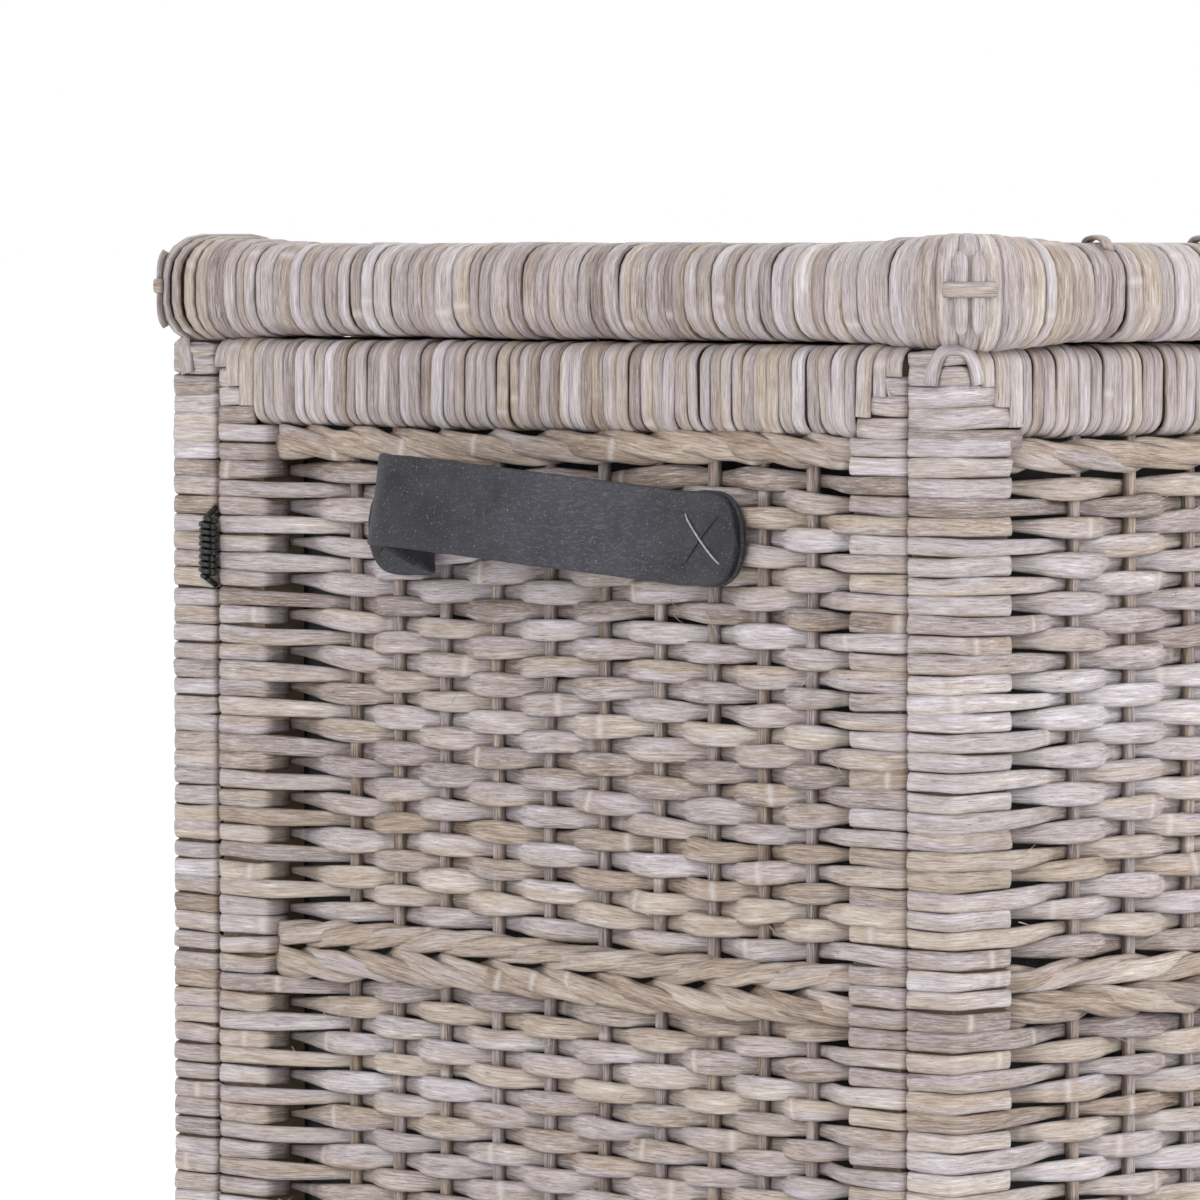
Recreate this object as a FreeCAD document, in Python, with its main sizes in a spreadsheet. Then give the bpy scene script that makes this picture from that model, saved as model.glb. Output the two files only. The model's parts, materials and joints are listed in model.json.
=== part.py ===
import FreeCAD, Part
import math
import os
import re

import Sketcher
from FreeCAD import Placement, Rotation, Vector

# A woven storage trunk: four panels of cane woven on stakes inside wrapped frames, tied
# at the corners, with a wrapped and woven lid on two butt hinges and a leather handle at
# each end. X runs along the trunk, Y from front to back, Z up; the origin is on the floor
# under the middle.

SIZES = {
    "trunk_length": 880,
    "trunk_depth": 480,
    "rim_height": 520,
    "panel_thickness": 30,
    "wrap_thickness": 3,
    "rail_wrap_height": 38,
    "rail_edge_radius": 6,
    "post_edge_radius": 5,
    "long_post_width": 38,
    "short_post_width": 33,
    "stake_diameter": 5.5,
    "stake_clearance": 0.05,
    "long_stake_count": 19,
    "long_stake_margin": 83,
    "short_stake_count": 10,
    "near_stake_margin": 59.5,
    "far_stake_margin": 82.5,
    "weave_thickness": 13,
    "weave_recess": 3,
    "braid_bottom": 236,
    "braid_height": 28,
    "braid_proud": 2.5,
    "batten_width": 30,
    "batten_height": 18,
    "batten_pitch": 270,
    "batten_count": 3,
    "floor_weave_thickness": 8,
    "liner_clearance": 1,
    "liner_thickness": 2,
    "liner_top_gap": 8,
    "lid_gap": 2,
    "lid_thickness": 40,
    "lid_bar_width": 44,
    "lid_side_overhang": 4,
    "lid_front_overhang": 12,
    "lid_edge_radius": 8,
    "lid_corner_radius": 28,
    "lid_binding_proud": 4,
    "lid_binding_edge_radius": 10,
    "lid_weave_thickness": 12,
    "lid_weave_drop": 5,
    "lid_stake_count": 18,
    "lid_stake_margin": 40,
    "lid_brace_width": 30,
    "lid_brace_height": 18,
    "lid_brace_pitch": 270,
    "lid_brace_count": 2,
    "lid_lining_thickness": 2,
    "hinge_spacing": 500,
    "hinge_width": 60,
    "hinge_leaf_thickness": 1.5,
    "hinge_leaf_reach": 34,
    "hinge_axis_out": 6,
    "hinge_axis_drop": 1.5,
    "hinge_barrel_radius": 3,
    "hinge_pin_radius": 1.5,
    "hinge_pin_clearance": 0.05,
    "hinge_pin_head_radius": 2.4,
    "hinge_pin_head_length": 1.2,
    "hinge_middle_length": 20,
    "hinge_knuckle_gap": 0.3,
    "hinge_web_thickness": 1.5,
    "screw_spacing": 40,
    "screw_radius": 1.6,
    "screw_head_radius": 3,
    "screw_length": 16,
    "strap_thickness": 3.5,
    "strap_width": 40,
    "strap_middle_height": 438,
    "strap_rise": 14,
    "strap_front": 124,
    "strap_front_tab": 36,
    "strap_rear_tab": 34.5,
    "strap_length": 223,
    "strap_lift_radius": 55,
    "strap_lift_angle": 19,
    "strap_curl_radius": 11,
    "strap_heel_radius": 8,
    "backing_thickness": 2,
    "backing_margin": 3,
    "stitch_radius": 0.5,
    "stitch_length": 31,
    "stitch_inset": 30,
    "tie_radius": 4.5,
    "tie_wire_radius": 1.35,
    "tie_turns": 9,
    "tie_proud": 3.4,
    "tie_middle_drop": 92,
}

doc = FreeCAD.newDocument("wicker_trunk")
sheet = doc.addObject("Spreadsheet::Sheet", "Sizes")
for row, (alias, value) in enumerate(SIZES.items(), start=1):
    sheet.set(f"A{row}", alias)
    sheet.set(f"B{row}", str(value))
    sheet.setAlias(f"B{row}", alias)
doc.recompute()

nodes = []


def expression(text):
    """The text with each size's name written as a cell of the sheet."""

    def cell(match):
        word = match.group()
        return f"Sizes.{word}" if word in SIZES else word

    return re.sub(r"[A-Za-z_]+", cell, str(text))


def value(text):
    """The number that an expression has now."""
    result = sheet.evalExpression(expression(text))
    return float(getattr(result, "Value", result))


def bind(item, **sizes):
    for name, text in sizes.items():
        item.setExpression(name, expression(text))
    return item


def move(item, x=0, y=0, z=0, turn=Rotation()):
    """Turns the item, then binds where its own origin goes."""
    item.Placement = Placement(Vector(), turn)
    for axis, text in (("x", x), ("y", y), ("z", z)):
        item.setExpression(f".Placement.Base.{axis}", expression(text))
    return item


def node(item, label):
    item.Label = label
    nodes.append(item)
    return item


# --- sketches, bodies and primitives ---


def new_body(name):
    body = doc.addObject("PartDesign::Body", name)
    body.AllowCompound = True
    return body


def origin_item(body, role):
    return next(item for item in body.Origin.OriginFeatures if item.Role == role)


def new_sketch(body, name, plane):
    sketch = body.newObject("Sketcher::SketchObject", name)
    sketch.AttachmentSupport = [(origin_item(body, plane), "")]
    sketch.MapMode = "FlatFace"
    return sketch


def place_point(sketch, line, end, x, y):
    """Holds one end of a line at bound distances from the sketch's origin."""
    for kind, text in (("DistanceX", x), ("DistanceY", y)):
        index = sketch.addConstraint(
            Sketcher.Constraint(kind, -1, 1, line, end, value(text))
        )
        sketch.setExpression(f"Constraints[{index}]", expression(text))


def outline(sketch, corners):
    """A closed polygon whose corners are bound to the sheet."""
    points = [Vector(value(x), value(y), 0) for x, y in corners]
    lines = []
    for start, end in zip(points, points[1:] + points[:1]):
        lines.append(sketch.addGeometry(Part.LineSegment(start, end), False))
    for this, following in zip(lines, lines[1:] + lines[:1]):
        sketch.addConstraint(Sketcher.Constraint("Coincident", this, 2, following, 1))
    for line, (x, y) in zip(lines, corners):
        place_point(sketch, line, 1, x, y)


def rectangle(sketch, left, right, low, high):
    outline(sketch, [(left, low), (right, low), (right, high), (left, high)])


def circle(sketch, x, y, radius):
    centre = Vector(value(x), value(y), 0)
    shape = Part.Circle(centre, Vector(0, 0, 1), value(radius))
    index = sketch.addGeometry(shape, False)
    place_point(sketch, index, 3, x, y)
    held = sketch.addConstraint(Sketcher.Constraint("Radius", index, value(radius)))
    sketch.setExpression(f"Constraints[{held}]", expression(radius))


def pad(body, sketch, length, name):
    feature = body.newObject("PartDesign::Pad", name)
    feature.Profile = sketch
    bind(feature, Length=length)
    doc.recompute()
    return feature


def pocket(body, sketch, name):
    """Cuts the sketch's outline right through, towards the solid."""
    before = body.Tip.Shape.Volume
    feature = body.newObject("PartDesign::Pocket", name)
    feature.Profile = sketch
    feature.Type = "ThroughAll"
    doc.recompute()
    if not feature.Shape.Volume < before:
        feature.Reversed = True
        doc.recompute()
    if not feature.Shape.Volume < before:
        raise RuntimeError(f"{name} cuts nothing")
    return feature


def row_of(body, feature, spread, count, name):
    """Repeats a feature along the body's X axis, over a bound spread."""
    pattern = body.newObject("PartDesign::LinearPattern", name)
    pattern.Originals = [feature]
    pattern.Direction = (origin_item(body, "X_Axis"), [""])
    bind(pattern, Length=spread, Occurrences=count)
    body.Tip = pattern
    doc.recompute()
    return pattern


def fillet(body, base, edges, radius, name):
    feature = body.newObject("PartDesign::Fillet", name)
    feature.Base = (base, edges)
    bind(feature, Radius=radius)
    doc.recompute()
    return feature


def edges_along(shape, direction, wanted=lambda middle: True):
    """The names of a shape's straight edges along a direction."""
    names = []
    for number, edge in enumerate(shape.Edges, start=1):
        if edge.Curve.TypeId != "Part::GeomLine":
            continue
        along = edge.tangentAt(edge.FirstParameter)
        if abs(abs(along.dot(direction)) - 1) > 1e-6:
            continue
        if wanted(edge.CenterOfMass):
            names.append(f"Edge{number}")
    return names


def box(name, x, y, z):
    """A box between bound limits; each of x, y and z is a (low, high) pair."""
    item = doc.addObject("Part::Box", name)
    bind(
        item,
        Length=f"({x[1]}) - ({x[0]})",
        Width=f"({y[1]}) - ({y[0]})",
        Height=f"({z[1]}) - ({z[0]})",
    )
    return move(item, x[0], y[0], z[0])


def cylinder(name, radius, length, x, y, z, turn=Rotation()):
    item = doc.addObject("Part::Cylinder", name)
    bind(item, Radius=radius, Height=length)
    return move(item, x, y, z, turn)


def cone(name, radius_1, radius_2, length, x, y, z, turn=Rotation()):
    item = doc.addObject("Part::Cone", name)
    bind(item, Radius1=radius_1, Radius2=radius_2, Height=length)
    return move(item, x, y, z, turn)


def fuse(name, shapes):
    item = doc.addObject("Part::MultiFuse", name)
    item.Shapes = shapes
    return item


def group(name, shapes):
    item = doc.addObject("Part::Compound", name)
    item.Links = shapes
    return item


def cut(name, base, tool):
    item = doc.addObject("Part::Cut", name)
    item.Base = base
    item.Tool = tool
    return item


def mirrored(name, source, normal):
    item = doc.addObject("Part::Mirroring", name)
    item.Source = source
    item.Normal = normal
    return item


# --- pieces that every panel has, in the panel's own frame ---
# X runs along the panel, Y from its outer face inwards, Z up from the floor.

ALONG = Vector(1, 0, 0)
UP = Vector(0, 0, 1)
SKIN = "wrap_thickness"


def bar(name, run, inner, outer, low, high):
    """A plain wooden bar along X."""
    body = new_body(name)
    profile = new_sketch(body, f"{name}_profile", "YZ_Plane")
    rectangle(profile, inner, outer, low, high)
    pad(body, profile, run, f"{name}_pad")
    return body


def sleeve(name, run, near, far, low, high, radius):
    """Cane wrapped round a bar along X, as a sleeve with rounded edges."""
    body = new_body(name)
    profile = new_sketch(body, f"{name}_outside", "YZ_Plane")
    rectangle(profile, near, far, low, high)
    solid = pad(body, profile, run, f"{name}_pad")
    fillet(body, solid, edges_along(solid.Shape, ALONG), radius, f"{name}_edges")
    hollow = new_sketch(body, f"{name}_inside", "YZ_Plane")
    rectangle(
        hollow, f"{near} + {SKIN}", f"{far} - {SKIN}", f"{low} + {SKIN}", f"{high} - {SKIN}"
    )
    pocket(body, hollow, f"{name}_bore")
    return body


def lift(sketch, height):
    """Raises a sketch above the plane that it is attached to."""
    sketch.setExpression(".AttachmentOffset.Base.z", expression(height))


def posts(name, run, width, low, high):
    """Two square wooden posts, one at each end of a panel."""
    body = new_body(name)
    profile = new_sketch(body, f"{name}_profile", "XY_Plane")
    rectangle(profile, SKIN, f"{width} - {SKIN}", SKIN, f"panel_thickness - {SKIN}")
    lift(profile, low)
    solid = pad(body, profile, f"{high} - ({low})", f"{name}_pad")
    row_of(body, solid, f"{run} - {width}", 2, f"{name}_pair")
    return body


def post_wraps(name, run, width, low, high):
    """The weaving strands where they turn round the two posts, as square tubes."""
    tubes = []
    for end, start in (("first", "0"), ("second", f"{run} - {width}")):
        body = new_body(f"{name}_{end}")
        profile = new_sketch(body, f"{name}_{end}_outside", "XY_Plane")
        rectangle(profile, start, f"{start} + {width}", 0, "panel_thickness")
        lift(profile, low)
        solid = pad(body, profile, f"{high} - ({low})", f"{name}_{end}_pad")
        fillet(
            body, solid, edges_along(solid.Shape, UP), "post_edge_radius", f"{name}_{end}_edges"
        )
        hollow = new_sketch(body, f"{name}_{end}_inside", "XY_Plane")
        rectangle(
            hollow,
            f"{start} + {SKIN}",
            f"{start} + {width} - {SKIN}",
            SKIN,
            f"panel_thickness - {SKIN}",
        )
        lift(hollow, low)
        pocket(body, hollow, f"{name}_{end}_bore")
        tubes.append(body)
    return group(name, tubes)


def stakes(name, first, spread, count, depth, low, high):
    """Round upright stakes in a row along X."""
    body = new_body(name)
    profile = new_sketch(body, f"{name}_profile", "XY_Plane")
    circle(profile, first, depth, "stake_diameter / 2")
    lift(profile, low)
    rod = pad(body, profile, f"{high} - ({low})", f"{name}_pad")
    row_of(body, rod, spread, count, f"{name}_row")
    return body


def weave(name, left, right, near, far, low, high, first, spread, count, braid):
    """A woven slab, bored for its stakes; a panel's has a braid raised across it."""
    body = new_body(name)
    profile = new_sketch(body, f"{name}_profile", "XY_Plane")
    rectangle(profile, left, right, near, far)
    lift(profile, low)
    pad(body, profile, f"{high} - ({low})", f"{name}_pad")
    if braid:
        band = new_sketch(body, f"{name}_braid", "XY_Plane")
        rectangle(band, left, right, f"{near} - braid_proud", f"{near} + braid_proud")
        lift(band, "braid_bottom")
        pad(body, band, "braid_height", f"{name}_braid_pad")
    bore = new_sketch(body, f"{name}_stake_hole", "XY_Plane")
    depth = f"({near} + {far}) / 2"
    circle(bore, first, depth, "stake_diameter / 2 + stake_clearance")
    lift(bore, low)
    hole = pocket(body, bore, f"{name}_stake_bore")
    row_of(body, hole, spread, count, f"{name}_stake_bores")
    return body


SIDE_RUN = "(trunk_depth - 2 * panel_thickness)"
PANELS = {
    "front": {
        "run": "trunk_length",
        "post": "long_post_width",
        "first": "long_stake_margin",
        "last": "long_stake_margin",
        "count": "long_stake_count",
        "turn": 0,
        "x": "-trunk_length / 2",
        "y": "-trunk_depth / 2",
    },
    "back": {
        "run": "trunk_length",
        "post": "long_post_width",
        "first": "long_stake_margin",
        "last": "long_stake_margin",
        "count": "long_stake_count",
        "turn": 180,
        "x": "trunk_length / 2",
        "y": "trunk_depth / 2",
    },
    "left": {
        "run": SIDE_RUN,
        "post": "short_post_width",
        "first": "far_stake_margin",
        "last": "near_stake_margin",
        "count": "short_stake_count",
        "turn": -90,
        "x": "-trunk_length / 2",
        "y": "trunk_depth / 2 - panel_thickness",
    },
    "right": {
        "run": SIDE_RUN,
        "post": "short_post_width",
        "first": "near_stake_margin",
        "last": "far_stake_margin",
        "count": "short_stake_count",
        "turn": 90,
        "x": "trunk_length / 2",
        "y": "panel_thickness - trunk_depth / 2",
    },
}


def make_panel(side, panel):
    """One woven wall: rails and posts, stakes, weave, and the cane wrapped round them."""
    run = panel["run"]
    post = panel["post"]
    low = "rail_wrap_height"
    high = "(rim_height - rail_wrap_height)"
    spread = f"{run} - {panel['first']} - {panel['last']}"
    near = "weave_recess"
    far = "weave_recess + weave_thickness"
    inner = f"panel_thickness - {SKIN}"
    pieces = {
        "top_rail": bar(
            f"{side}_top_rail", run, SKIN, inner, f"{high} + {SKIN}", f"rim_height - {SKIN}"
        ),
        "bottom_rail": bar(
            f"{side}_bottom_rail", run, SKIN, inner, SKIN, f"rail_wrap_height - {SKIN}"
        ),
        "posts": posts(f"{side}_posts", run, post, low, high),
        "stakes": stakes(
            f"{side}_stakes",
            panel["first"],
            spread,
            panel["count"],
            f"({near} + {far}) / 2",
            low,
            high,
        ),
        "weave": weave(
            f"{side}_weave",
            post,
            f"{run} - {post}",
            near,
            far,
            low,
            high,
            panel["first"],
            spread,
            panel["count"],
            braid=True,
        ),
        "post_wraps": post_wraps(f"{side}_post_wraps", run, post, low, high),
        "rim_wrap": sleeve(
            f"{side}_rim_wrap", run, "0", "panel_thickness", high, "rim_height", "rail_edge_radius"
        ),
        "base_wrap": sleeve(
            f"{side}_base_wrap", run, "0", "panel_thickness", "0", low, "rail_edge_radius"
        ),
    }
    for piece, item in pieces.items():
        move(item, panel["x"], panel["y"], 0, Rotation(UP, panel["turn"]))
        node(item, f"{side}_{piece}")


for side, panel in PANELS.items():
    make_panel(side, panel)


# --- floor and lining ---

INSIDE_X = "(trunk_length / 2 - panel_thickness)"
INSIDE_Y = "(trunk_depth / 2 - panel_thickness)"


def cross_bars(name, pitch, count, width, low, high, reach):
    """Flat wooden bars from front to back, evenly spaced about the middle."""
    body = new_body(name)
    profile = new_sketch(body, f"{name}_profile", "XY_Plane")
    first = f"-{pitch} * ({count} - 1) / 2"
    rectangle(profile, f"{first} - {width} / 2", f"{first} + {width} / 2", f"-{reach}", reach)
    lift(profile, low)
    solid = pad(body, profile, f"{high} - ({low})", f"{name}_pad")
    row_of(body, solid, f"{pitch} * ({count} - 1)", count, f"{name}_row")
    return body


node(
    cross_bars(
        "base_battens", "batten_pitch", "batten_count", "batten_width", 0, "batten_height", INSIDE_Y
    ),
    "base_battens",
)
FLOOR_TOP = "batten_height + floor_weave_thickness"
node(
    box(
        "base_weave",
        (f"-{INSIDE_X}", INSIDE_X),
        (f"-{INSIDE_Y}", INSIDE_Y),
        ("batten_height", FLOOR_TOP),
    ),
    "base_weave",
)


def make_liner():
    """A cloth bag open at the top, standing on the woven floor."""
    body = new_body("liner")
    half_x = f"({INSIDE_X} - liner_clearance)"
    half_y = f"({INSIDE_Y} - liner_clearance)"
    cloth = "liner_thickness"
    outside = new_sketch(body, "liner_outside", "XY_Plane")
    rectangle(outside, f"-{half_x}", half_x, f"-{half_y}", half_y)
    lift(outside, FLOOR_TOP)
    pad(body, outside, f"rim_height - liner_top_gap - ({FLOOR_TOP})", "liner_pad")
    inside = new_sketch(body, "liner_inside", "XY_Plane")
    rectangle(
        inside,
        f"{cloth} - {half_x}",
        f"{half_x} - {cloth}",
        f"{cloth} - {half_y}",
        f"{half_y} - {cloth}",
    )
    lift(inside, "rim_height - liner_top_gap")
    hollow = body.newObject("PartDesign::Pocket", "liner_hollow")
    hollow.Profile = inside
    bind(hollow, Length=f"rim_height - liner_top_gap - ({FLOOR_TOP}) - {cloth}")
    doc.recompute()
    return body


node(make_liner(), "liner")


# --- lid ---

LID_X = "(trunk_length / 2 + lid_side_overhang)"
LID_Y = "(trunk_depth / 2 + lid_front_overhang)"
LID_LOW = "(rim_height + lid_gap)"
LID_HIGH = "(rim_height + lid_gap + lid_thickness)"
LID_INNER_X = f"({LID_X} - lid_bar_width)"
LID_INNER_Y = f"({LID_Y} - lid_bar_width)"


def long_lid_bar(name):
    """A lid bar along the trunk, its two outer corners rounded; made as the front one."""
    body = new_body(name)
    profile = new_sketch(body, f"{name}_profile", "XY_Plane")
    rectangle(
        profile,
        f"{SKIN} - {LID_X}",
        f"{LID_X} - {SKIN}",
        f"{SKIN} - {LID_Y}",
        f"-{SKIN} - {LID_INNER_Y}",
    )
    lift(profile, f"{LID_LOW} + {SKIN}")
    solid = pad(body, profile, f"lid_thickness - 2 * {SKIN}", f"{name}_pad")
    middle = -(value(LID_Y) + value(LID_INNER_Y)) / 2
    outer = edges_along(solid.Shape, UP, lambda place: place.y < middle)
    fillet(body, solid, outer, f"lid_corner_radius - {SKIN}", f"{name}_corners")
    return body


front_bar = node(long_lid_bar("lid_front_bar"), "lid_front_bar")
back_bar = node(long_lid_bar("lid_back_bar"), "lid_back_bar")
back_bar.Placement = Placement(Vector(), Rotation(UP, 180))
side_bars = []
for side, sign in (("left", "-"), ("right", "")):
    edges = [f"{sign}({LID_X} - {SKIN})", f"{sign}({LID_INNER_X} + {SKIN})"]
    low, high = sorted(edges, key=value)
    reach = f"({LID_INNER_Y} + {SKIN})"
    side_bars.append(
        box(
            f"lid_{side}_bar",
            (low, high),
            (f"-{reach}", reach),
            (f"{LID_LOW} + {SKIN}", f"{LID_HIGH} - {SKIN}"),
        )
    )
    node(side_bars[-1], f"lid_{side}_bar")

LID_WRAPS = {
    "front": (f"2 * {LID_INNER_X}", f"-{LID_INNER_X}", f"-{LID_Y}", 0),
    "back": (f"2 * {LID_INNER_X}", LID_INNER_X, LID_Y, 180),
    "left": (f"2 * {LID_INNER_Y}", f"-{LID_X}", LID_INNER_Y, -90),
    "right": (f"2 * {LID_INNER_Y}", LID_X, f"-{LID_INNER_Y}", 90),
}
for side, (run, x, y, turn) in LID_WRAPS.items():
    wrap = sleeve(
        f"lid_{side}_wrap", run, "0", "lid_bar_width", LID_LOW, LID_HIGH, "lid_edge_radius"
    )
    move(wrap, x, y, 0, Rotation(UP, turn))
    node(wrap, f"lid_{side}_wrap")


def make_corner_bindings():
    """The lashing over each corner of the lid's frame, hollow where the bars pass."""
    body = new_body("corner_block")
    profile = new_sketch(body, "corner_block_profile", "XY_Plane")
    rectangle(profile, f"-{LID_X}", f"-{LID_INNER_X}", f"-{LID_Y}", f"-{LID_INNER_Y}")
    lift(profile, LID_LOW)
    solid = pad(body, profile, "lid_thickness + lid_binding_proud", "corner_block_pad")
    middle_x = -(value(LID_X) + value(LID_INNER_X)) / 2
    middle_y = -(value(LID_Y) + value(LID_INNER_Y)) / 2
    corner = edges_along(
        solid.Shape, UP, lambda place: place.x < middle_x and place.y < middle_y
    )
    rounded = fillet(body, solid, corner, "lid_corner_radius", "corner_block_corner")
    top = value(f"{LID_HIGH} + lid_binding_proud")
    rim = []
    for number, edge in enumerate(rounded.Shape.Edges, start=1):
        place = edge.CenterOfMass
        level = abs(edge.BoundBox.ZMin - top) < 1e-6 and abs(edge.BoundBox.ZMax - top) < 1e-6
        outside = place.x < middle_x - 1 or place.y < middle_y - 1
        inside = abs(place.x + value(LID_INNER_X)) < 1e-6 or abs(place.y + value(LID_INNER_Y)) < 1e-6
        if level and outside and not inside:
            rim.append(f"Edge{number}")
    fillet(body, rounded, rim, "lid_binding_edge_radius", "corner_block_rim")
    right = mirrored("corner_block_right", body, ALONG)
    front_pair = group("corner_blocks_front", [body, right])
    back_pair = mirrored("corner_blocks_back", front_pair, Vector(0, 1, 0))
    blocks = group("corner_blocks", [front_pair, back_pair])
    frame = group("lid_bars", [front_bar, back_bar] + side_bars)
    return cut("lid_corner_bindings", blocks, frame)


node(make_corner_bindings(), "lid_corner_bindings")

# The lid's weave is made upright like a panel's, then laid flat: its own Y points down.
FLAT = Rotation(ALONG, -90)
LID_WEAVE_TOP = f"({LID_HIGH} - lid_weave_drop)"
LID_FIRST = f"(lid_stake_margin - {LID_INNER_X})"
LID_SPREAD = f"2 * ({LID_INNER_X} - lid_stake_margin)"
lid_weave = weave(
    "lid_weave",
    f"-{LID_INNER_X}",
    LID_INNER_X,
    "0",
    "lid_weave_thickness",
    f"-{LID_INNER_Y}",
    LID_INNER_Y,
    LID_FIRST,
    LID_SPREAD,
    "lid_stake_count",
    braid=False,
)
lid_stakes = stakes(
    "lid_stakes",
    LID_FIRST,
    LID_SPREAD,
    "lid_stake_count",
    "lid_weave_thickness / 2",
    f"-{LID_INNER_Y}",
    LID_INNER_Y,
)
for item, label in ((lid_weave, "lid_weave"), (lid_stakes, "lid_stakes")):
    move(item, 0, 0, LID_WEAVE_TOP, FLAT)
    node(item, label)

BRACE_TOP = f"({LID_WEAVE_TOP} - lid_weave_thickness)"
node(
    cross_bars(
        "lid_braces",
        "lid_brace_pitch",
        "lid_brace_count",
        "lid_brace_width",
        f"{BRACE_TOP} - lid_brace_height",
        BRACE_TOP,
        LID_INNER_Y,
    ),
    "lid_braces",
)
LINING_TOP = f"({BRACE_TOP} - lid_brace_height)"
node(
    box(
        "lid_lining",
        (f"-{LID_INNER_X}", LID_INNER_X),
        (f"-{LID_INNER_Y}", LID_INNER_Y),
        (f"{LINING_TOP} - lid_lining_thickness", LINING_TOP),
    ),
    "lid_lining",
)


# --- hinges ---

AXIS_Y = "(trunk_depth / 2 + hinge_axis_out)"
AXIS_Z = "(rim_height - hinge_axis_drop)"
TO_X = Rotation(Vector(0, 1, 0), 90)
TO_FRONT = Rotation(ALONG, 90)
BACK = "(trunk_depth / 2)"
LEAF = "hinge_leaf_thickness"


def knuckle(name, start, length):
    return cylinder(name, "hinge_barrel_radius", length, start, AXIS_Y, AXIS_Z, TO_X)


def screw_places(centre):
    return [f"{centre} - screw_spacing / 2", f"{centre} + screw_spacing / 2"]


def body_screw(name, x, slack=0):
    """A countersunk screw, or with slack the hole it needs, driven forwards."""
    z = f"{AXIS_Z} - hinge_leaf_reach / 2"
    face = f"{BACK} + {LEAF}"
    head = cone(
        f"{name}_head",
        f"screw_head_radius + {slack}",
        f"screw_radius + {slack}",
        LEAF,
        x,
        face,
        z,
        TO_FRONT,
    )
    shank = cylinder(
        f"{name}_shank", f"screw_radius + {slack}", "screw_length", x, face, z, TO_FRONT
    )
    return fuse(name, [head, shank])


def lid_screw(name, x, slack=0):
    """A countersunk screw, or with slack the hole it needs, driven upwards."""
    y = f"{AXIS_Y} - hinge_leaf_reach / 2"
    z = f"{LID_LOW} - {LEAF}"
    head = cone(
        f"{name}_head", f"screw_head_radius + {slack}", f"screw_radius + {slack}", LEAF, x, y, z
    )
    shank = cylinder(f"{name}_shank", f"screw_radius + {slack}", "screw_length", x, y, z)
    return fuse(name, [head, shank])


SCREW_SLACK = 0.1
hinge_pins = []
body_screws = []
lid_screws = []


def make_hinge(side, centre):
    """A butt hinge: one leaf on the back of the rim, one under the lid, and their pin."""
    half = "hinge_width / 2"
    middle = "hinge_middle_length / 2"
    outer_run = f"({half} - {middle})"
    bore = cylinder(
        f"{side}_hinge_bore",
        "hinge_pin_radius + hinge_pin_clearance",
        "2 * hinge_width",
        f"{centre} - hinge_width",
        AXIS_Y,
        AXIS_Z,
        TO_X,
    )
    plate = box(
        f"{side}_body_plate",
        (f"{centre} - {half}", f"{centre} + {half}"),
        (BACK, f"{BACK} + {LEAF}"),
        (f"{AXIS_Z} - hinge_leaf_reach", AXIS_Z),
    )
    parts = [plate]
    ends = (
        ("first", f"{centre} - {half}"),
        ("last", f"{centre} + {middle}"),
    )
    for end, start in ends:
        parts.append(knuckle(f"{side}_{end}_knuckle", start, outer_run))
        parts.append(
            box(
                f"{side}_{end}_web",
                (start, f"{start} + {outer_run}"),
                (BACK, f"{AXIS_Y} - hinge_pin_radius - 2 * hinge_pin_clearance"),
                (f"{AXIS_Z} - hinge_web_thickness", AXIS_Z),
            )
        )
    holes = [bore]
    for number, x in enumerate(screw_places(centre), start=1):
        body_screws.append(body_screw(f"{side}_body_screw_{number}", x))
        holes.append(body_screw(f"{side}_body_hole_{number}", x, SCREW_SLACK))
    leaf = cut(
        f"{side}_body_leaf", fuse(f"{side}_body_blank", parts), fuse(f"{side}_body_holes", holes)
    )
    node(leaf, f"{side}_hinge_body_leaf")

    gap = "hinge_knuckle_gap"
    tongue = (f"{centre} - {middle} + {gap}", f"{centre} + {middle} - {gap}")
    clear = f"{AXIS_Y} - hinge_barrel_radius - 2 * {gap}"
    parts = [
        box(
            f"{side}_lid_plate",
            (f"{centre} - {half}", f"{centre} + {half}"),
            (f"{AXIS_Y} - hinge_leaf_reach", clear),
            (f"{LID_LOW} - {LEAF}", LID_LOW),
        ),
        box(
            f"{side}_lid_tongue",
            tongue,
            (f"{clear} - 1", AXIS_Y),
            (f"{LID_LOW} - {LEAF}", LID_LOW),
        ),
        knuckle(f"{side}_middle_knuckle", tongue[0], f"hinge_middle_length - 2 * {gap}"),
    ]
    holes = [
        cylinder(
            f"{side}_lid_bore",
            "hinge_pin_radius + hinge_pin_clearance",
            "2 * hinge_width",
            f"{centre} - hinge_width",
            AXIS_Y,
            AXIS_Z,
            TO_X,
        )
    ]
    for number, x in enumerate(screw_places(centre), start=1):
        lid_screws.append(lid_screw(f"{side}_lid_screw_{number}", x))
        holes.append(lid_screw(f"{side}_lid_hole_{number}", x, SCREW_SLACK))
    leaf = cut(
        f"{side}_lid_leaf", fuse(f"{side}_lid_blank", parts), fuse(f"{side}_lid_holes", holes)
    )
    node(leaf, f"{side}_hinge_lid_leaf")

    shaft = cylinder(
        f"{side}_pin_shaft",
        "hinge_pin_radius",
        f"hinge_width + 2 * {gap}",
        f"{centre} - {half} - {gap}",
        AXIS_Y,
        AXIS_Z,
        TO_X,
    )
    heads = []
    head_starts = (
        f"{centre} - {half} - {gap} - hinge_pin_head_length",
        f"{centre} + {half} + {gap}",
    )
    for number, start in enumerate(head_starts, start=1):
        heads.append(
            cylinder(
                f"{side}_pin_head_{number}",
                "hinge_pin_head_radius",
                "hinge_pin_head_length",
                start,
                AXIS_Y,
                AXIS_Z,
                TO_X,
            )
        )
    hinge_pins.append(fuse(f"{side}_hinge_pin", [shaft] + heads))


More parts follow.
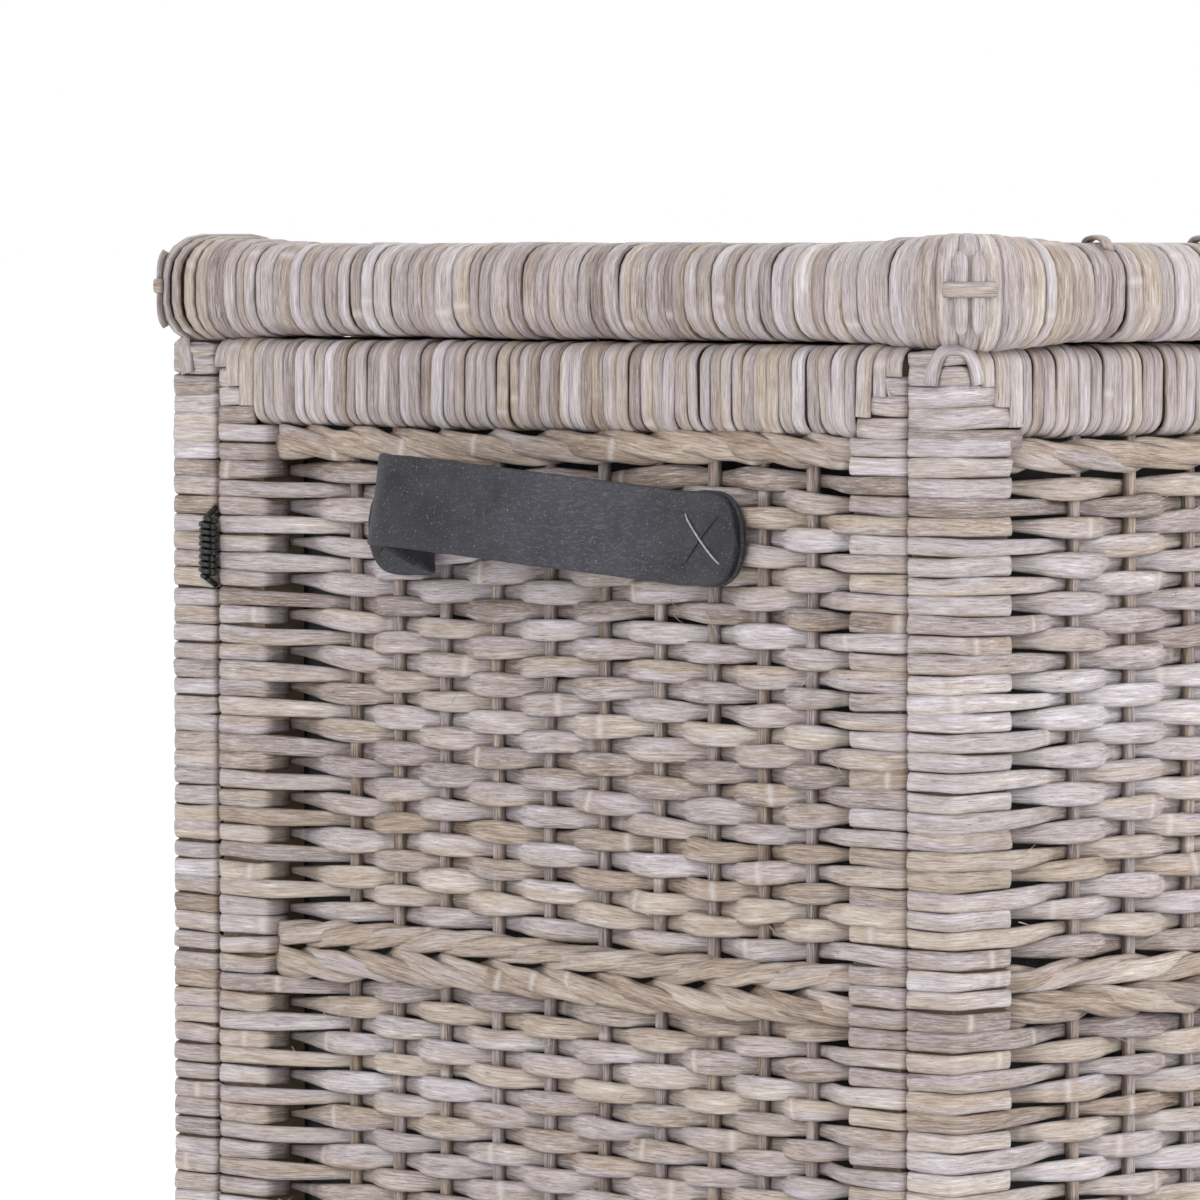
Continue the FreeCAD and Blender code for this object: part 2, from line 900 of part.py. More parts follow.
make_hinge("left", "(-hinge_spacing / 2)")
make_hinge("right", "(hinge_spacing / 2)")
node(group("hinge_pin_pair", hinge_pins), "hinge_pins")
node(group("body_screw_set", body_screws), "hinge_body_screws")
node(group("lid_screw_set", lid_screws), "hinge_lid_screws")


# --- leather handles ---
# A handle's own X runs along the wall from its front end, its Y out of the wall.

OUTWARD = Rotation(UP, 90)
STRAP_FOOT = "(backing_thickness - weave_recess)"
STRAP_LOW = "(strap_middle_height - strap_width / 2)"


def strap_line():
    """The strap's inner face seen from above: tab, lift, run out, curl, return, heel, tab."""
    sketch = doc.addObject("Sketcher::SketchObject", "strap_line")
    angle = math.radians(value("strap_lift_angle"))
    lift_radius = value("strap_lift_radius")
    curl = value("strap_curl_radius")
    heel = value("strap_heel_radius")
    foot = value(STRAP_FOOT)
    far_face = value("strap_length - strap_rear_tab - strap_heel_radius")
    tab_end = value("strap_front_tab")
    lift_end = Vector(
        tab_end + lift_radius * math.sin(angle), foot + lift_radius * (1 - math.cos(angle)), 0
    )
    curl_start_x = far_face - curl - curl * math.sin(angle)
    curl_start_y = lift_end.y + (curl_start_x - lift_end.x) * math.tan(angle)
    curl_y = curl_start_y - curl * math.cos(angle)
    quarter = math.pi / 2
    up = Vector(0, 0, 1)

    def arc(x, y, radius, start, end):
        return Part.ArcOfCircle(Part.Circle(Vector(x, y, 0), up, radius), start, end)

    pieces = [
        Part.LineSegment(Vector(0, foot, 0), Vector(tab_end, foot, 0)),
        arc(tab_end, foot + lift_radius, lift_radius, -quarter, angle - quarter),
        Part.LineSegment(lift_end, Vector(curl_start_x, curl_start_y, 0)),
        arc(far_face - curl, curl_y, curl, 0, quarter + angle),
        Part.LineSegment(Vector(far_face, curl_y, 0), Vector(far_face, foot + heel, 0)),
        arc(far_face + heel, foot + heel, heel, 2 * quarter, 3 * quarter),
        Part.LineSegment(
            Vector(far_face + heel, foot, 0), Vector(value("strap_length"), foot, 0)
        ),
    ]
    for piece in pieces:
        sketch.addGeometry(piece, False)
    joins = ((0, 2, 1, 1), (1, 2, 2, 1), (2, 2, 3, 2), (3, 1, 4, 1), (4, 2, 5, 1), (5, 2, 6, 1))
    for join in joins:
        sketch.addConstraint(Sketcher.Constraint("Tangent", *join))
    place_point(sketch, 0, 1, 0, STRAP_FOOT)
    sketch.addConstraint(Sketcher.Constraint("Horizontal", 0))
    sketch.addConstraint(Sketcher.Constraint("Vertical", 4))
    sketch.addConstraint(Sketcher.Constraint("Horizontal", 6))
    place_point(sketch, 6, 2, "strap_length", STRAP_FOOT)
    bound = (
        (Sketcher.Constraint("Distance", 0, tab_end), "strap_front_tab"),
        (Sketcher.Constraint("Radius", 1, lift_radius), "strap_lift_radius"),
        (Sketcher.Constraint("Angle", 2, angle), "strap_lift_angle * 1 deg"),
        (Sketcher.Constraint("Radius", 3, curl), "strap_curl_radius"),
        (Sketcher.Constraint("Radius", 5, heel), "strap_heel_radius"),
        (Sketcher.Constraint("Distance", 6, value("strap_rear_tab")), "strap_rear_tab"),
    )
    for constraint, text in bound:
        index = sketch.addConstraint(constraint)
        sketch.setExpression(f"Constraints[{index}]", expression(text))
    return sketch


def make_strap():
    """The strap's plan as a tall ribbon, kept only where its climbing side view passes."""
    ribbon = doc.addObject("Part::Offset2D", "strap_plan")
    ribbon.Source = strap_line()
    ribbon.Fill = True
    ribbon.Mode = "Skin"
    ribbon.Join = "Intersection"
    bind(ribbon, Value="-strap_thickness")
    tall = doc.addObject("Part::Extrusion", "strap_ribbon")
    tall.Base = ribbon
    tall.DirMode = "Custom"
    tall.Dir = UP
    bind(tall, LengthFwd="strap_width + strap_rise")
    move(tall, 0, 0, STRAP_LOW)
    body = new_body("strap_side_view")
    view = new_sketch(body, "strap_elevation", "XZ_Plane")
    curl_x = "(strap_length - strap_rear_tab - strap_heel_radius - strap_curl_radius)"
    heel_x = "(strap_length - strap_rear_tab)"
    climb = [
        ("0", "0"),
        ("strap_front_tab", "0"),
        (curl_x, "strap_rise"),
        (f"{heel_x} - strap_heel_radius / 2", "strap_rise"),
        (heel_x, "0"),
        ("strap_length", "0"),
    ]
    bottom = [(x, f"{STRAP_LOW} + {z}") for x, z in climb]
    top = [(x, f"{STRAP_LOW} + strap_width + {z}") for x, z in reversed(climb)]
    outline(view, bottom + top)
    reach = "(2 * strap_width)"
    view.setExpression(".AttachmentOffset.Base.z", expression(f"-{reach}"))
    pad(body, view, f"2 * {reach}", "strap_side_pad")
    strap = doc.addObject("Part::Common", "left_strap")
    strap.Base = tall
    strap.Tool = body
    return strap


def at_left_wall(item):
    return move(item, "-trunk_length / 2", "strap_front - trunk_depth / 2", 0, OUTWARD)


left_strap = node(at_left_wall(make_strap()), "left_handle")
node(mirrored("right_strap", left_strap, ALONG), "right_handle")


def tab_backing(name, start, end):
    """A leather patch between a tab and the weave."""
    return box(
        name,
        (start, end),
        ("-weave_recess", STRAP_FOOT),
        (f"{STRAP_LOW} - backing_margin", f"{STRAP_LOW} + strap_width + backing_margin"),
    )


def cross_stitch(name, x):
    """Two crossed threads over a tab."""
    threads = []
    for label, lean in (("rising", 45), ("falling", -45)):
        turn = Rotation(Vector(0, 1, 0), lean)
        half = f"stitch_length / 2 * sin({lean} deg)"
        drop = "stitch_length / 2 * cos(45 deg)"
        threads.append(
            cylinder(
                f"{name}_{label}",
                "stitch_radius",
                "stitch_length",
                f"{x} - {half}",
                f"{STRAP_FOOT} + strap_thickness + stitch_radius",
                f"strap_middle_height - {drop}",
                turn,
            )
        )
    return fuse(name, threads)


front_patch = tab_backing("front_backing", "-backing_margin", "strap_front_tab + backing_margin")
rear_patch = tab_backing(
    "rear_backing",
    "strap_length - strap_rear_tab - backing_margin",
    "strap_length + backing_margin",
)
patches = at_left_wall(group("left_backings", [front_patch, rear_patch]))
node(group("backing_set", [patches, mirrored("right_backings", patches, ALONG)]), "handle_backings")

stitches = at_left_wall(
    group(
        "left_stitches",
        [
            cross_stitch("front_stitch", "strap_front_tab / 2"),
            cross_stitch("rear_stitch", "strap_length - strap_rear_tab / 2"),
        ],
    )
)
node(group("stitch_set", [stitches, mirrored("right_stitches", stitches, ALONG)]), "handle_stitches")


# --- coil ties in the grooves of the back corners ---


def make_tie(name):
    """A close-wound coil as a ridged spindle: one half-round ridge for each turn."""
    body = new_body(name)
    sketch = new_sketch(body, f"{name}_profile", "XZ_Plane")
    core = "(tie_radius - tie_wire_radius)"
    bottom = "(-tie_turns * tie_wire_radius)"
    turns = int(value("tie_turns"))
    starts = [("0", bottom)]
    starts += [(core, f"{bottom} + {2 * turn} * tie_wire_radius") for turn in range(turns + 1)]
    starts += [("0", f"-{bottom}")]
    points = [Vector(value(x), value(y), 0) for x, y in starts]
    crest = Vector(value("tie_wire_radius"), value("tie_wire_radius"), 0)
    lines = []
    for number, (start, end) in enumerate(zip(points, points[1:] + points[:1])):
        ridge = 1 <= number <= turns
        edge = Part.Arc(start, start + crest, end) if ridge else Part.LineSegment(start, end)
        lines.append(sketch.addGeometry(edge, False))
    for this, following in zip(lines, lines[1:] + lines[:1]):
        sketch.addConstraint(Sketcher.Constraint("Coincident", this, 2, following, 1))
    for line, (x, y) in zip(lines, starts):
        place_point(sketch, line, 1, x, y)
    for line in lines[1 : turns + 1]:
        held = sketch.addConstraint(Sketcher.Constraint("DistanceX", -1, 1, line, 3, value(core)))
        sketch.setExpression(f"Constraints[{held}]", expression(core))
    feature = body.newObject("PartDesign::Revolution", f"{name}_turned")
    feature.Profile = sketch
    feature.ReferenceAxis = (sketch, ["V_Axis"])
    feature.Angle = 360
    doc.recompute()
    return body


TIE_X = "(trunk_length / 2 + tie_proud)"
TIE_Y = "(trunk_depth / 2 - panel_thickness)"
TIE_Z = {"upper": "rim_height - tie_middle_drop", "lower": "tie_middle_drop"}
ties = []
for side, sign in (("left", "-"), ("right", "")):
    for level, height in TIE_Z.items():
        tie = make_tie(f"{side}_{level}_tie")
        ties.append(move(tie, f"{sign}{TIE_X}", TIE_Y, height))
node(group("tie_set", ties), "corner_ties")


# --- checks and files ---

doc.recompute()
for item in doc.Objects:
    for state in item.State:
        if state in ("Invalid", "Error"):
            raise RuntimeError(f"{item.Name} is {state}")
for item in nodes:
    if item.Shape.isNull() or not item.Shape.isValid():
        raise RuntimeError(f"{item.Label} has no valid shape")

os.makedirs("parts", exist_ok=True)
for item in nodes:
    item.Shape.exportStep(f"parts/{item.Label}.step")
print(len(nodes), "sub-parts written")
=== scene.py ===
import json
import math

import bpy
import numpy as np
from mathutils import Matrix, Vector


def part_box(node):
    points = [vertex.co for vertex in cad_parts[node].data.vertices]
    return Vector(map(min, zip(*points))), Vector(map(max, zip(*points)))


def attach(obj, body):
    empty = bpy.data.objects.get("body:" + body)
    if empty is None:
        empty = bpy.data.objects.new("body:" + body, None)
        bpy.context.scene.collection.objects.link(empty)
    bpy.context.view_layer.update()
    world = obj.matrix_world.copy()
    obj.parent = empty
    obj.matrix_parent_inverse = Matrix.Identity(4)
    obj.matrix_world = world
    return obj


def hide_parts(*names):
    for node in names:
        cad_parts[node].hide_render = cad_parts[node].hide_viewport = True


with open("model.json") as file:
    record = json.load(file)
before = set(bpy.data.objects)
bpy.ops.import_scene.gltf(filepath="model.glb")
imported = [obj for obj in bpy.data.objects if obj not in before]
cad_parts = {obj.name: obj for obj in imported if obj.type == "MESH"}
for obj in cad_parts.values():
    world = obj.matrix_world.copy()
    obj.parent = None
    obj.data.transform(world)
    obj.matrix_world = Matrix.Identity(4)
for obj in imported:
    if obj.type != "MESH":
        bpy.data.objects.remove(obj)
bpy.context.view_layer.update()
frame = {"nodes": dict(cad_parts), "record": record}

# A woven storage trunk. Lengths below are in millimetres; build() turns them into metres.
# Each panel has its own frame: u along it, v from its outer face inwards, z up.

MM = 0.001
rng = np.random.default_rng(11)
X_AXIS, Y_AXIS, UP = np.eye(3)

# --- sizes of the cane work ---

ROW_PITCH = 8.2
POST_CORNER = 5.0
STRAND_THICK = 2.9
STRAND_WIDTH = 10.3
TIP_WIDTH = 3.2
POST_STRIP_WIDTH = 8.1
TAPER = 0.40
STAKE_WIDTH = 5.8
STAKE_THICK = 4.6
LONG_STAKES = 19
SHORT_STAKES = 10
STAKE_SPREAD = 0.014
WEAVE_SWING = 3.5
BAND_HEIGHT = 16.0
RIM_STRIP = (5.6, 8.0)
LID_STRIP = (4.8, 11.5)
LID_EDGE_RADIUS = 14.0
RIM_EDGE_RADIUS = 9.0
STRIP_THICK = 2.4

# --- cross-sections, as (across, outward) pairs from -1 to 1 ---


def oval_ring(degrees, squareness):
    angle = np.radians(degrees)
    across = np.sign(np.cos(angle)) * np.abs(np.cos(angle)) ** squareness
    outward = np.sign(np.sin(angle)) * np.abs(np.sin(angle)) ** squareness
    return across, outward


CANE_RING = oval_ring([0, 30, 62, 90, 118, 150, 180, 225, 270, 315], 0.72)
ROUND_RING = oval_ring(np.arange(0, 360, 36), 1.0)


def strap_ring():
    """A wide flat section with softly rounded edges."""
    edge = np.radians([-90, -45, 0, 45, 90])
    flat = np.linspace(0.9, -0.9, 8)[1:-1]
    right_x = 0.93 + 0.07 * np.cos(edge)
    right_y = np.sin(edge)
    across = np.concatenate([right_x, flat, -right_x[::-1], -flat])
    outward = np.concatenate([right_y, np.ones(6), right_y[::-1], -np.ones(6)])
    return across, outward


STRAP_RING = strap_ring()
BLOCK_RING = oval_ring(np.arange(15, 375, 30), 0.3)
BAR_RING = oval_ring(np.arange(9, 369, 18), 0.55)


def cap_faces(count):
    """Quads that close a ring of an even number of points."""
    rows = range(count // 2 - 1)
    return np.array([(i, i + 1, count - 2 - i, count - 1 - i) for i in rows])


class Bundle:
    """Swept strands that become one mesh."""

    def __init__(self, ring=CANE_RING):
        self.across, self.outward = ring
        self.size = len(self.across)
        self.vertices, self.faces, self.marks, self.tones = [], [], [], []
        self.count = 0

    def add(self, points, side, width, thick, outward, tone, closed=False):
        """One strand along points; side is its width's direction."""
        points = np.asarray(points, float)
        n = len(points)
        if closed:
            tangent = np.roll(points, -1, 0) - np.roll(points, 1, 0)
        else:
            tangent = np.gradient(points, axis=0)
        tangent /= np.linalg.norm(tangent, axis=1)[:, None]
        side = np.broadcast_to(np.asarray(side, float), (n, 3))
        side = side - (side * tangent).sum(1)[:, None] * tangent
        side = side / np.linalg.norm(side, axis=1)[:, None]
        normal = np.cross(tangent, side)
        facing = (normal * np.broadcast_to(np.asarray(outward, float), (n, 3))).sum(1)
        flip = np.where(facing < 0, -1.0, 1.0)[:, None]
        normal = normal * flip
        width = np.broadcast_to(np.asarray(width, float), (n,))
        thick = np.broadcast_to(np.asarray(thick, float), (n,))
        ring = (
            points[:, None, :]
            + side[:, None, :] * (width[:, None] / 2 * self.across)[:, :, None]
            + normal[:, None, :] * (thick[:, None] / 2 * self.outward)[:, :, None]
        )
        self.vertices.append(ring.reshape(-1, 3))
        steps = np.linalg.norm(np.diff(points, axis=0), axis=1)
        along = np.concatenate([[0], np.cumsum(steps)]) * MM
        seed = rng.random()
        mark = np.empty((n, self.size, 3))
        mark[:, :, 0] = along[:, None]
        mark[:, :, 1] = self.across
        mark[:, :, 2] = seed
        self.marks.append(mark.reshape(-1, 3))
        tone = np.broadcast_to(np.asarray(tone, float), (n,))
        self.tones.append(np.repeat(tone, self.size))
        k = self.size
        j = np.arange(k)
        after = (j + 1) % k
        starts = np.arange(n if closed else n - 1)
        following = (starts + 1) % n
        quads = np.stack(
            [
                starts[:, None] * k + j,
                starts[:, None] * k + after,
                following[:, None] * k + after,
                following[:, None] * k + j,
            ],
            axis=2,
        ).reshape(-1, 4)
        faces = [quads]
        if not closed:
            cap = cap_faces(k)
            faces += [cap[:, ::-1], cap + (n - 1) * k]
        mirrored = np.linalg.det(np.stack([side[0], normal[0], tangent[0]])) < 0
        joined = np.concatenate(faces)
        if mirrored:
            joined = joined[:, ::-1]
        self.faces.append(joined + self.count)
        self.count += n * k

    def build(self, name, material, body, slot, replaced=()):
        """The mesh object, riding on its body."""
        mesh = bpy.data.meshes.new(name)
        vertices = np.concatenate(self.vertices) * MM
        faces = np.concatenate(self.faces)
        mesh.vertices.add(len(vertices))
        mesh.vertices.foreach_set("co", vertices.astype(np.float32).ravel())
        mesh.loops.add(faces.size)
        mesh.loops.foreach_set("vertex_index", faces.astype(np.int32).ravel())
        mesh.polygons.add(len(faces))
        mesh.polygons.foreach_set("loop_start", np.arange(0, faces.size, 4, dtype=np.int32))
        mesh.polygons.foreach_set("use_smooth", np.ones(len(faces), bool))
        mark = mesh.attributes.new("strand", "FLOAT_VECTOR", "POINT")
        mark.data.foreach_set("vector", np.concatenate(self.marks).astype(np.float32).ravel())
        tone = mesh.attributes.new("tone", "FLOAT", "POINT")
        tone.data.foreach_set("value", np.concatenate(self.tones).astype(np.float32))
        mesh.update(calc_edges=True)
        finish_piece(mesh, name, material, body, replaced)


def show(name, data):
    """An object in the scene that holds a mesh, a lamp or a camera."""
    holder = bpy.data.objects.new(name, data)
    bpy.context.scene.collection.objects.link(holder)
    return holder


def finish_piece(mesh, name, material, body, replaced=()):
    mesh.materials.append(material)
    piece = show(name, mesh)
    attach(piece, body)
    if replaced:
        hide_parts(*replaced)
    return piece


# --- materials ---


def new_material(name):
    material = bpy.data.materials.new(name)
    material.use_nodes = True
    tree = material.node_tree
    shader = tree.nodes["Principled BSDF"]
    return material, tree, shader


def add_node(tree, kind, inputs=(), **settings):
    """A node with settings, its inputs given as values or as other nodes' outputs."""
    node = tree.nodes.new(kind)
    for key, value in settings.items():
        setattr(node, key, value)
    for key, value in dict(inputs).items():
        if isinstance(value, bpy.types.NodeSocket):
            tree.links.new(value, node.inputs[key])
        else:
            node.inputs[key].default_value = value
    return node


def maths(tree, operation, first, second=0.0):
    pair = {0: first, 1: second}
    return add_node(tree, "ShaderNodeMath", pair, operation=operation).outputs[0]


def mix_colours(tree, factor, first, second):
    inputs = {0: factor, 6: first, 7: second}
    return add_node(tree, "ShaderNodeMix", inputs, data_type="RGBA").outputs[2]


def cover(tree, colour, mask, strength, paint):
    """The colour, with paint over it where the mask is."""
    return mix_colours(tree, maths(tree, "MULTIPLY", mask, strength), colour, paint)


def ramp(tree, factor, stops):
    node = add_node(tree, "ShaderNodeValToRGB", {0: factor})
    elements = node.color_ramp.elements
    while len(elements) < len(stops):
        elements.new(0.5)
    for element, (place, colour) in zip(elements, stops):
        element.position = place
        element.color = (*colour, 1.0)
    return node.outputs[0]


def grain(tree, vector, scale, detail=3.0, rough=0.55):
    inputs = {"Vector": vector, "Scale": scale, "Detail": detail, "Roughness": rough}
    return add_node(tree, "ShaderNodeTexNoise", inputs).outputs[0]


def stretched(tree, vector, scale):
    inputs = {0: vector, 1: scale}
    node = add_node(tree, "ShaderNodeVectorMath", inputs, operation="MULTIPLY")
    return node.outputs[0]


GREY_TONES = [
    (0.0, (0.128, 0.095, 0.083)),
    (0.25, (0.241, 0.189, 0.175)),
    (0.45, (0.355, 0.296, 0.294)),
    (0.65, (0.458, 0.400, 0.416)),
    (0.82, (0.552, 0.500, 0.530)),
    (1.0, (0.729, 0.684, 0.726)),
]
WARM_TONES = [
    (0.0, (0.134, 0.087, 0.058)),
    (0.25, (0.252, 0.177, 0.129)),
    (0.45, (0.371, 0.284, 0.220)),
    (0.65, (0.470, 0.384, 0.318)),
    (0.82, (0.554, 0.478, 0.419)),
    (1.0, (0.723, 0.655, 0.615)),
]
WHITEWASH = (0.76, 0.73, 0.715, 1.0)
# Dark of cracks in the cane, and painted shade along each strand's edges.
CRACK_AND_EDGE_SHADE = (0.085, 0.068, 0.058, 1.0)
SMEAR = (0.26, 0.185, 0.130, 1.0)
RING_FREQUENCY = 4.0
LEATHER_PAINTED_SHEEN = (0.098, 0.098, 0.130, 1.0)
# Painted sheen: the bluish lightening laid over the strap's middle.
LEATHER_SCUFF = (0.150, 0.150, 0.180, 1.0)
LEATHER_DUST = (0.34, 0.33, 0.32, 1.0)


def scaled_sum(tree, value, factor, added):
    """value * factor + added, where added may be a number or an output."""
    inputs = {0: value, 1: factor, 2: added}
    return add_node(tree, "ShaderNodeMath", inputs, operation="MULTIPLY_ADD").outputs[0]


def clamped(tree, value):
    return add_node(tree, "ShaderNodeClamp", {"Value": value}).outputs[0]


def contrast(tree, value, middle, gain, added=0.0):
    """(value - middle) * gain + added"""
    return scaled_sum(tree, maths(tree, "SUBTRACT", value, middle), gain, added)


def patches(tree, value, start, gain, added=0.0):
    """0 where a value is below start, and 1 where it is well above."""
    return clamped(tree, contrast(tree, value, start, gain, added))


def read_mark(tree, name, output="Fac"):
    """A value that each strand carries along its mesh."""
    return add_node(tree, "ShaderNodeAttribute", attribute_name=name).outputs[output]


def edge_distance(tree, inputs, dimensions="3D"):
    """Distance from the borders of a cell pattern."""
    cells = add_node(
        tree,
        "ShaderNodeTexVoronoi",
        inputs,
        voronoi_dimensions=dimensions,
        feature="DISTANCE_TO_EDGE",
    )
    return cells.outputs["Distance"]


def join_surface(tree, shader, colour, rough, height, strength, distance):
    """Colour, roughness and bump of a surface, joined to its shader."""
    inputs = {"Height": height, "Strength": strength, "Distance": distance}
    bump = add_node(tree, "ShaderNodeBump", inputs).outputs[0]
    for socket, output in (("Base Color", colour), ("Roughness", rough), ("Normal", bump)):
        tree.links.new(output, shader.inputs[socket])


def cane_material(name, gloss, wash, coat, streak_depth=1.0, warm_share=0.26):
    """Weathered cane: streaks along each strand, blotches, growth rings, pale wash, dark cracks,
    and painted shade along each strand's edges.
    """
    material, tree, shader = new_material(name)
    strand = read_mark(tree, "strand", "Vector")
    tone = read_mark(tree, "tone")
    parts = add_node(tree, "ShaderNodeSeparateXYZ", {0: strand}).outputs
    along, across, seed = parts
    streaks = grain(tree, stretched(tree, strand, (75.0, 6.0, 97.0)), 1.0, 4.0, 0.62)
    fibres = grain(tree, stretched(tree, strand, (150.0, 15.0, 53.0)), 1.0, 3.0, 0.7)
    blotches = grain(tree, stretched(tree, strand, (30.0, 1.3, 31.0)), 1.0, 4.0)
    warmth = grain(tree, stretched(tree, strand, (5.0, 0.4, 71.0)), 1.0, 2.0)
    level = contrast(tree, blotches, 0.5, 0.85, tone)
    level = contrast(tree, streaks, 0.5, 1.35 * streak_depth, level)
    warm = patches(tree, warmth, 0.5, 5.0, warm_share)
    grey_tone = ramp(tree, level, GREY_TONES)
    colour = mix_colours(tree, warm, grey_tone, ramp(tree, level, WARM_TONES))
    colour = cover(tree, colour, patches(tree, fibres, 0.55, 10.0), wash, WHITEWASH)
    scored = patches(tree, 0.40, fibres, 9.0)
    colour = cover(tree, colour, scored, 0.60, CRACK_AND_EDGE_SHADE)
    rings_at = scaled_sum(tree, seed, 57.0, maths(tree, "MULTIPLY", along, RING_FREQUENCY))
    from_ring = edge_distance(tree, {"W": rings_at, "Scale": 1.0}, "1D")
    ragged = contrast(tree, fibres, 0.5, 0.05, from_ring)
    smear = clamped(tree, scaled_sum(tree, ragged, -24.0, 1.0))
    ring = clamped(tree, scaled_sum(tree, ragged, -110.0, 1.0))
    colour = cover(tree, colour, smear, 0.42, SMEAR)
    colour = cover(tree, colour, ring, 0.50, WHITEWASH)
    # Painted shade: each strand darkens towards its two edges, where it meets its neighbours.
    edge = maths(tree, "POWER", maths(tree, "ABSOLUTE", across), 7.0)
    colour = cover(tree, colour, edge, 0.60, CRACK_AND_EDGE_SHADE)
    shader.inputs["Coat Weight"].default_value = coat
    shader.inputs["Coat Roughness"].default_value = 0.22
    height = scaled_sum(tree, fibres, 0.8, streaks)
    height = scaled_sum(tree, smear, 0.5, height)
    height = scaled_sum(tree, scored, -0.6, height)
    rough = scaled_sum(tree, blotches, 0.35, gloss)
    join_surface(tree, shader, colour, rough, height, 0.7, 0.0007)
    return material


def object_vector(tree):
    return add_node(tree, "ShaderNodeTexCoord").outputs["Object"]


def leather_material(name, dark, light):
    """Near-black leather: pebbled grain, light dust, paler scuffs where it wears, and a painted
    lighter sheen over the strap's middle.
    """
    material, tree, shader = new_material(name)
    place = object_vector(tree)
    cells = edge_distance(tree, {"Vector": place, "Scale": 1100.0})
    clouds = grain(tree, place, 60.0, 4.0)
    dust = grain(tree, place, 1500.0, 2.0)
    colour = ramp(tree, clouds, [(0.3, dark), (0.75, light)])
    scuffs = grain(tree, stretched(tree, place, (500.0, 260.0, 900.0)), 1.0, 3.0, 0.7)
    sheen_and_wear = read_mark(tree, "tone")
    # Painted light: a lighter, bluish sheen over the strap's middle, fading to darker towards its
    # rear curl; the same mask also places the wear scuffs below.
    colour = cover(tree, colour, sheen_and_wear, 0.22, LEATHER_PAINTED_SHEEN)
    rubbed = patches(tree, scuffs, 0.50, 5.0)
    rubbed = maths(tree, "MULTIPLY", rubbed, scaled_sum(tree, sheen_and_wear, 0.8, 0.15))
    colour = cover(tree, colour, rubbed, 0.45, LEATHER_SCUFF)
    colour = cover(tree, colour, patches(tree, dust, 0.65, 16.0), 0.55, LEATHER_DUST)
    rough = scaled_sum(tree, clouds, 0.3, 0.36)
    shader.inputs["Specular IOR Level"].default_value = 0.32
    height = scaled_sum(tree, dust, 0.1, maths(tree, "MINIMUM", cells, 0.12))
    join_surface(tree, shader, colour, rough, height, 0.45, 0.0005)
    return material


def cloth_material(name, thread, light):
    """Plain-weave cloth: crossed threads, uneven in tone."""
    material, tree, shader = new_material(name)
    place = object_vector(tree)
    fine = grain(tree, stretched(tree, place, (900.0, 900.0, 60.0)), 1.0, 2.0)
    cross = grain(tree, stretched(tree, place, (70.0, 70.0, 1100.0)), 1.0, 2.0)
    woven = maths(tree, "MULTIPLY", maths(tree, "ADD", fine, cross), 0.5)
    colour = ramp(tree, woven, [(0.35, thread), (0.65, light)])
    shader.inputs["Sheen Weight"].default_value = 0.15
    join_surface(tree, shader, colour, scaled_sum(tree, woven, 0.2, 0.78), woven, 0.4, 0.0004)
    return material


def metal_material(name, dark, light, metallic, base_rough):
    """Painted or coated steel with rubbed patches and fine specks."""
    material, tree, shader = new_material(name)
    place = object_vector(tree)
    clouds = grain(tree, place, 90.0, 4.0)
    specks = grain(tree, place, 2200.0, 2.0)
    colour = ramp(tree, clouds, [(0.35, dark), (0.7, light)])
    shader.inputs["Metallic"].default_value = metallic
    rough = scaled_sum(tree, specks, 0.25, base_rough)
    join_surface(tree, shader, colour, rough, specks, 0.2, 0.0002)
    return material


def wood_material(name, dark, light):
    """Sawn wood with grain lines."""
    material, tree, shader = new_material(name)
    place = object_vector(tree)
    lines = grain(tree, stretched(tree, place, (8.0, 240.0, 240.0)), 1.0, 4.0)
    colour = ramp(tree, lines, [(0.3, dark), (0.7, light)])
    join_surface(tree, shader, colour, scaled_sum(tree, lines, 0.2, 0.6), lines, 0.3, 0.0005)
    return material


WOVEN = cane_material("woven_cane", gloss=0.36, wash=0.55, coat=0.22)
TAN = cane_material("tan_cane", gloss=0.36, wash=0.35, coat=0.22, warm_share=1.1)
WRAPPED = cane_material("wrapped_cane", gloss=0.34, wash=0.55, coat=0.25)
STAKE = cane_material("stake_cane", gloss=0.55, wash=0.20, coat=0.0, streak_depth=1.6)
LEATHER = leather_material("black_leather", (0.013, 0.013, 0.0165), (0.040, 0.039, 0.047))
BACKING = leather_material("backing_leather", (0.010, 0.010, 0.011), (0.022, 0.022, 0.024))
LINING = cloth_material("charcoal_cloth", (0.030, 0.030, 0.033), (0.070, 0.070, 0.075))
THREAD = cloth_material("waxed_thread", (0.20, 0.20, 0.20), (0.42, 0.41, 0.40))
WIRE = metal_material("black_wire", (0.005, 0.005, 0.006), (0.014, 0.014, 0.015), 0.0, 0.16)
METAL = metal_material("dark_metal", (0.035, 0.030, 0.027), (0.085, 0.075, 0.066), 0.85, 0.30)
POLE = wood_material("pole_wood", (0.10, 0.070, 0.045), (0.23, 0.165, 0.11))


# --- places, read from the frame ---


def box_mm(node):
    low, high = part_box(node)
    return np.array(low) / MM, np.array(high) / MM


